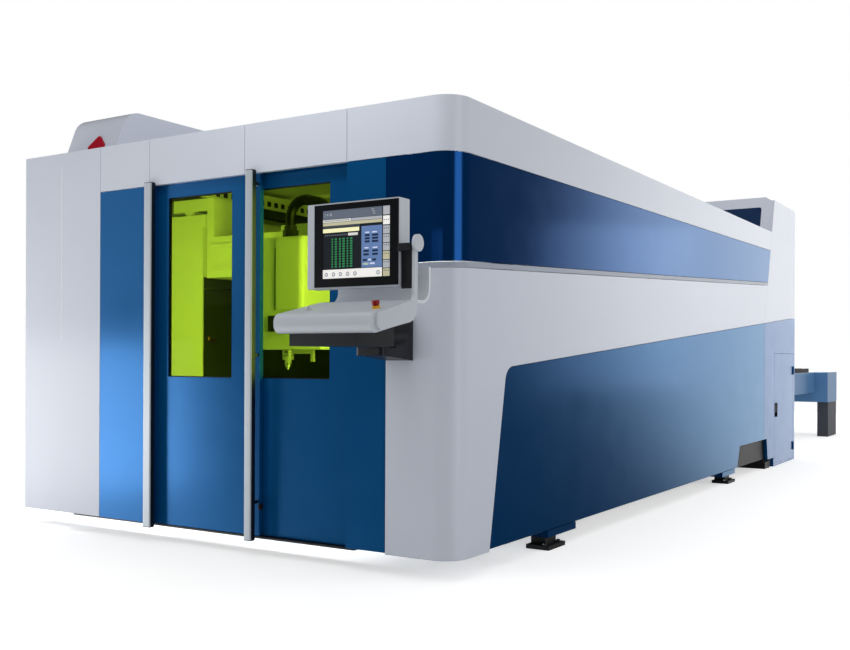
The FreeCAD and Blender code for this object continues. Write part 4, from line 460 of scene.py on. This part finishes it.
# perforated rail high on the left, over the side of the bed
slottedRail = {"x": (-2450, -2444), "y": (640, 2680), "z": (1998, 2092), "slot": (38, 34),
               "margin": 20, "pitch": 72, "slotFoot": 2018, "slotProud": 0.5}
bm = bmesh.new()
addBlock(bm, *zip(slottedRail["x"], slottedRail["y"], slottedRail["z"]))
finishPiece(bm, "cable_rail", "machine", "interior")
# the slots are black blocks on the rail's face: painted shade for the dark seen through them
bm = bmesh.new()
slotLong, slotHigh = slottedRail["slot"]
railFace = slottedRail["x"][1]
slotY = slottedRail["y"][0] + slottedRail["margin"]
while slotY + slotLong < slottedRail["y"][1]:
    addBlock(bm, (railFace, slotY, slottedRail["slotFoot"]),
             (railFace + slottedRail["slotProud"], slotY + slotLong,
              slottedRail["slotFoot"] + slotHigh))
    slotY += slottedRail["pitch"]
finishPiece(bm, "cable_rail_slots", "machine", "rubber")

# dark sheet on the inner wall of the bed, painted shade under the runway beam, with its top rail
shadeGuard = {"x": (-2470, -2464), "y": (1010, 4990), "z": (640, 1489), "rail": (1409, 1417),
         "railThick": 5, "soft": 1}
shadeGuardFace = shadeGuard["x"][1]
bm = bmesh.new()
addBlock(bm, *zip(shadeGuard["x"], shadeGuard["y"], shadeGuard["z"]))
finishPiece(bm, "bed_painted_shade_guard", "machine", "guardPaintedShade")
bm = bmesh.new()
addBlock(bm, (shadeGuardFace, shadeGuard["y"][0], shadeGuard["rail"][0]),
         (shadeGuardFace + shadeGuard["railThick"], shadeGuard["y"][1], shadeGuard["rail"][1]))
softenEdges(bm, shadeGuard["soft"])
finishPiece(bm, "bed_guard_rail", "machine", "steel")

# small air fitting on the guard: hexagon nut, pipe along the guard and elbow upwards
fitting = {"y": (1040, 1090), "z": 1084, "radius": 6, "pipeOut": 14, "nutOut": 22, "nutRadius": 8,
           "nutSides": 6, "elbowTop": 1108}
bm = bmesh.new()
pipeX = shadeGuardFace + fitting["pipeOut"]
elbowY, nutY = fitting["y"]
addRod(bm, (shadeGuardFace, nutY, fitting["z"]), (shadeGuardFace + fitting["nutOut"], nutY, fitting["z"]),
       fitting["nutRadius"], fitting["nutSides"])
addRod(bm, (pipeX, elbowY, fitting["z"]), (pipeX, nutY, fitting["z"]), fitting["radius"])
addRod(bm, (pipeX, elbowY, fitting["z"] - fitting["radius"]), (pipeX, elbowY, fitting["elbowTop"]),
       fitting["radius"])
finishPiece(bm, "air_fitting", "machine", "copper")

# fittings of the head: clamping rings over the nozzle, connector block, joint line on the cover
headFittings = {"centre": (-1590, 800), "ringSides": 32, "ringSoft": 1,
                "rings": ((34.5, 1000, 1012), (34.5, 982, 988), (20, 931.5, 941)),
                "block": ((-1650, 688, 1122), (-1592, 700, 1213)), "blockSoft": 2,
                "seam": ((-1609, 699.4, 1244), (-1603, 700, 1600))}
bm = bmesh.new()
for radius, low, high in headFittings["rings"]:
    addRod(bm, (*headFittings["centre"], low), (*headFittings["centre"], high), radius,
           headFittings["ringSides"])
softenEdges(bm, headFittings["ringSoft"])
finishPiece(bm, "head_rings", "head", "steel")
bm = bmesh.new()
addBlock(bm, *headFittings["block"])
softenEdges(bm, headFittings["blockSoft"])
finishPiece(bm, "head_connector", "head", "connector")
bm = bmesh.new()
addBlock(bm, *headFittings["seam"])
finishPiece(bm, "head_cover_seam", "head", "rubber")
print("inside fittings made")

# hexagon bolts that hold the foot plates down
footBolts = {"x": (-22, -2878), "y": (1030, 4300), "reach": 82, "plateTop": 22, "height": 9,
             "radius": 10, "sides": 6, "soft": 1}
bm = bmesh.new()
for x in footBolts["x"]:
    for y in footBolts["y"]:
        for side in (-1, 1):
            spot = y + side * footBolts["reach"]
            addRod(bm, (x, spot, footBolts["plateTop"]),
                   (x, spot, footBolts["plateTop"] + footBolts["height"]), footBolts["radius"],
                   footBolts["sides"])
softenEdges(bm, footBolts["soft"])
finishPiece(bm, "foot_bolts", "machine", "steel")
print("foot bolts made")

# picture on the display: plain fields, as shares of its width and height from the top left
screenLow, screenHigh = boxOf("monitor_screen")
fieldStep = 0.3  # how far each layer stands before the one under it
fields = {
    "litHeader": [(0, 0, 0.885, 0.13)],
    "litWhite": [(0.02, 0.045, 0.04, 0.075), (0.06, 0.045, 0.085, 0.075),
                 (0.105, 0.04, 0.135, 0.08), (0.73, 0.025, 0.765, 0.035),
                 (0.745, 0.055, 0.78, 0.065), (0.755, 0.085, 0.785, 0.095),
                 (0.9, 0.14, 1, 0.265), (0, 0.87, 0.885, 1)],
    "litPale": [(0, 0.135, 0.43, 0.175), (0.385, 0.345, 0.53, 0.385)],
    "litGrey": [(0.435, 0.135, 0.885, 0.175), (0.9, 0, 1, 0.125), (0.9, 0.28, 1, 0.395),
                (0.9, 0.405, 1, 0.52), (0.9, 0.53, 1, 0.635), (0.9, 0.77, 1, 0.88)],
    "litTan": [(0, 0.18, 0.885, 0.225), (0.9, 0.645, 1, 0.76), (0.9, 0.89, 1, 1)],
    "litSlate": [(0, 0.23, 0.56, 0.262)],
    "litYellow": [(0, 0.268, 0.55, 0.325), (0.605, 0.795, 0.69, 0.825)],
    "litBlue": [(0.585, 0.265, 0.885, 0.862)],
}
# small marks over the fields: the tops of some rows, then the left and right of their marks
valueRows = (((0.385, 0.43, 0.475), ((0.635, 0.705), (0.74, 0.83))),
             ((0.61, 0.66), ((0.615, 0.695), (0.745, 0.825))),
             ((0.74,), ((0.605, 0.665), (0.745, 0.8))))
listColumns = ((0.135, 0.02), (0.185, 0.03), (0.25, 0.025), (0.3, 0.035), (0.365, 0.022),
               (0.415, 0.035))  # left and width of each column of the list
fieldsOver = {
    "litNavy": [(left, top, right, top + 0.03)
                for tops, marks in valueRows for top in tops for left, right in marks],
    "litLilac": [(0.64, 0.35, 0.7, 0.368), (0.74, 0.35, 0.81, 0.368), (0.63, 0.572, 0.69, 0.59),
                 (0.75, 0.572, 0.82, 0.59), (0.685, 0.74, 0.725, 0.765), (0.71, 0.795, 0.78, 0.82)],
    "litGreen": [(left, 0.415 + 0.0365 * row, left + width, 0.437 + 0.0365 * row)
                 for row in range(12) for left, width in listColumns],
    "litMark": [(0.03 + 0.032 * dash, 0.355, 0.048 + 0.032 * dash, 0.375) for dash in range(11)]
               + [(0.91 + 0.03 * dash, 0.19 + 0.12 * row, 0.925 + 0.03 * dash, 0.205 + 0.12 * row)
                  for row in range(7) for dash in range(3)]
               + [(0.03 + 0.035 * dash, 0.147, 0.05 + 0.035 * dash, 0.16) for dash in range(11)],
}


def onDisplay(across, down):
    return (screenLow.x + across * (screenHigh.x - screenLow.x),
            screenHigh.z - down * (screenHigh.z - screenLow.z))


for layer, group in ((1, fields), (2, fieldsOver)):
    for finish, shares in group.items():
        bm = bmesh.new()
        for left, top, right, foot in shares:
            nearX, highZ = onDisplay(left, top)
            farX, lowZ = onDisplay(right, foot)
            addBlock(bm, (nearX, screenLow.y - fieldStep * layer, lowZ),
                     (farX, screenLow.y, highZ))
        finishPiece(bm, "display_" + finish, "monitor", finish)

# round buttons along the foot of the display: a grey ring with a pale core in it
buttons = {"across": (0.055, 0.165, 0.27, 0.38, 0.49, 0.83), "down": 0.94,
           "discs": {"litRing": (8.5, 0.8), "litCore": (4.5, 1.0)}}  # radius and depth of each
for finish, (radius, depth) in buttons["discs"].items():
    bm = bmesh.new()
    for across in buttons["across"]:
        x, z = onDisplay(across, buttons["down"])
        addRod(bm, (x, screenLow.y - depth, z), (x, screenLow.y, z), radius)
    finishPiece(bm, "display_" + finish, "monitor", finish)
print("display made")

# stage: a pale floor, size in metres and grain in millimetres; only the camera sees its glow,
# which makes it white but for the shadow
stage = {"size": 60.0, "grain": 25, "pale": (0.86, 0.9), "seen": 0.52}
bm = bmesh.new()
bmesh.ops.create_grid(bm, x_segments=1, y_segments=1, size=stage["size"])
mesh = bpy.data.meshes.new("floor")
bm.to_mesh(mesh)
bm.free()
floor = bpy.data.objects.new("floor", mesh)
bpy.context.scene.collection.objects.link(floor)
material, tree, output, place = startMaterial("paleFloor")
grain = addNode(tree, "ShaderNodeTexNoise", {"Scale": 1000 / stage["grain"]}, {"Vector": place})
tone = addNode(tree, "ShaderNodeMapRange",
               {"To Min": stage["pale"][0], "To Max": stage["pale"][1]},
               {"Value": grain.outputs["Fac"]})
matte = addNode(tree, "ShaderNodeBsdfDiffuse", {}, {"Color": tone.outputs["Result"]})
sight = addNode(tree, "ShaderNodeLightPath")
glow = addNode(tree, "ShaderNodeMath", {"operation": "MULTIPLY", 1: stage["seen"]},
               {0: sight.outputs["Is Camera Ray"]})
white = addNode(tree, "ShaderNodeEmission", {}, {"Strength": glow.outputs["Value"]})
both = addNode(tree, "ShaderNodeAddShader", {},
               {0: matte.outputs["BSDF"], 1: white.outputs["Emission"]})
tree.links.new(both.outputs["Shader"], output.inputs["Surface"])
mesh.materials.append(material)
floor.visible_glossy = False  # its far edge would show as a line in the paint

# backdrop: white to the camera and through the glass, three soft bright walls in the paint
backdrop = {
    "seen": 1.0, "diffuse": 0.57, "base": 0.03,
    "walls": {
        "rear": {"aim": (0.0, 0.9887, 0.15), "edge": (0.905, 0.945), "level": 1.6},
        "left": {"aim": (-0.9, -0.2, -0.38), "edge": (0.80, 0.88), "level": 3.1},
        "right": {"aim": (1.0, -0.1, 0.1), "edge": (0.93, 0.985), "level": 1.7},
    },
}
world = bpy.data.worlds.new("studio")
bpy.context.scene.world = world
world.use_nodes = True
tree = world.node_tree
tree.nodes.clear()
rays = addNode(tree, "ShaderNodeLightPath")
seen = addNode(tree, "ShaderNodeMath", {"operation": "MAXIMUM"},
               {0: rays.outputs["Is Camera Ray"], 1: rays.outputs["Is Transmission Ray"]})
way = addNode(tree, "ShaderNodeTexCoord").outputs["Generated"]
level = None
for wall in backdrop["walls"].values():
    facing = addNode(tree, "ShaderNodeVectorMath",
                     {"operation": "DOT_PRODUCT", 1: Vector(wall["aim"]).normalized()}, {0: way})
    fade = addNode(tree, "ShaderNodeMapRange",
                   {"interpolation_type": "SMOOTHSTEP", "From Min": wall["edge"][0],
                    "From Max": wall["edge"][1], "To Max": wall["level"]},
                   {"Value": facing.outputs["Value"]})
    total = addNode(tree, "ShaderNodeMath", {"operation": "ADD", 1: backdrop["base"]},
                    {0: fade.outputs["Result"]})
    if level is not None:
        tree.links.new(level, total.inputs[1])
    level = total.outputs["Value"]
glossy = addNode(tree, "ShaderNodeMix", {"data_type": "FLOAT", 2: backdrop["diffuse"]},
                 {0: rays.outputs["Is Glossy Ray"], 3: level})
strength = addNode(tree, "ShaderNodeMix", {"data_type": "FLOAT", 3: backdrop["seen"]},
                   {0: seen.outputs["Value"], 2: glossy.outputs[0]})
background = addNode(tree, "ShaderNodeBackground", {"Color": (1, 1, 1, 1)},
                     {"Strength": strength.outputs[0]})
addNode(tree, "ShaderNodeOutputWorld", {}, {"Surface": background.outputs["Background"]})
print("floor and backdrop made")

# soft lamps: place, target, size in metres from the machine's corner, power in watts
lamps = {
    "leftNear": ((-4.3, -1.6, 0.5), (-2.8, 0.0, 0.6), (1.5, 1.2), 17.0),
    "leftHigh": ((-5.0, -2.6, 2.2), (-2.6, 0.0, 1.4), (2.0, 1.5), 6.0),
    "headerStrip": ((-0.7, -0.9, 2.9), (-0.6, 0.0, 2.0), (1.2, 0.3), 7.0),
    "rightMid": ((5.5, 4.5, 2.2), (0.0, 3.0, 1.2), (3.0, 2.0), 66.0),
    "rearNear": ((2.4, 8.0, 1.6), (0.0, 6.0, 1.2), (2.0, 2.0), 6.0),
    "overhead": ((-1.0, 4.5, 7.5), (-1.2, 4.5, 2.0), (3.0, 6.0), 56.0),
    "leftSide": ((-8.0, 4.5, 2.6), (-2.7, 4.5, 1.2), (6.0, 3.0), 120.0),
    "rearSide": ((-1.3, 15.0, 3.0), (-1.3, 10.0, 1.0), (4.0, 3.0), 90.0),
    "cabinLamp": ((-0.5, 0.4, 1.25), (-2.2, 0.75, 1.2), (0.2, 1.3), 20.0),
    "cabinLeft": ((-1.75, 0.3, 1.2), (-2.7, 0.4, 1.2), (0.2, 1.4), 16.0),
}
unmirrored = ("rightMid",)  # the backdrop's right wall stands for it in the paint
for name, (place, target, size, power) in lamps.items():
    lamp = bpy.data.lights.new(name, "AREA")
    lamp.shape = "RECTANGLE"
    lamp.size, lamp.size_y = size
    lamp.energy = power
    thing = bpy.data.objects.new(name, lamp)
    thing.location = Vector(place) + toFrame
    aim = Vector(target) - Vector(place)
    thing.rotation_euler = aim.to_track_quat("-Z", "Y").to_euler()
    thing.visible_camera = False  # its edge would show through the seam over the band
    thing.visible_glossy = name not in unmirrored
    bpy.context.scene.collection.objects.link(thing)

# camera at the photograph's place
shot = {"place": (2.1975, -3.7458, 0.975), "look": (-0.5314, 0.8471, 0.0), "roll": 0.232,
        "lens": 42.85, "sensor": 36.0, "shift": 0.0387, "reach": 200.0}
camera = bpy.data.cameras.new("camera")
camera.lens = shot["lens"]
camera.sensor_width = shot["sensor"]
camera.shift_y = shot["shift"]
camera.clip_end = shot["reach"]
view = bpy.data.objects.new("camera", camera)
turn = Vector(shot["look"]).to_track_quat("-Z", "Y").to_matrix().to_4x4()
roll = Matrix.Rotation(math.radians(shot["roll"]), 4, "Z")
view.matrix_world = Matrix.Translation(Vector(shot["place"]) + toFrame) @ turn @ roll
bpy.context.scene.collection.objects.link(view)
bpy.context.scene.camera = view
bpy.context.scene.view_settings.view_transform = "Standard"
print("lamps and camera placed")

print("scene ready")
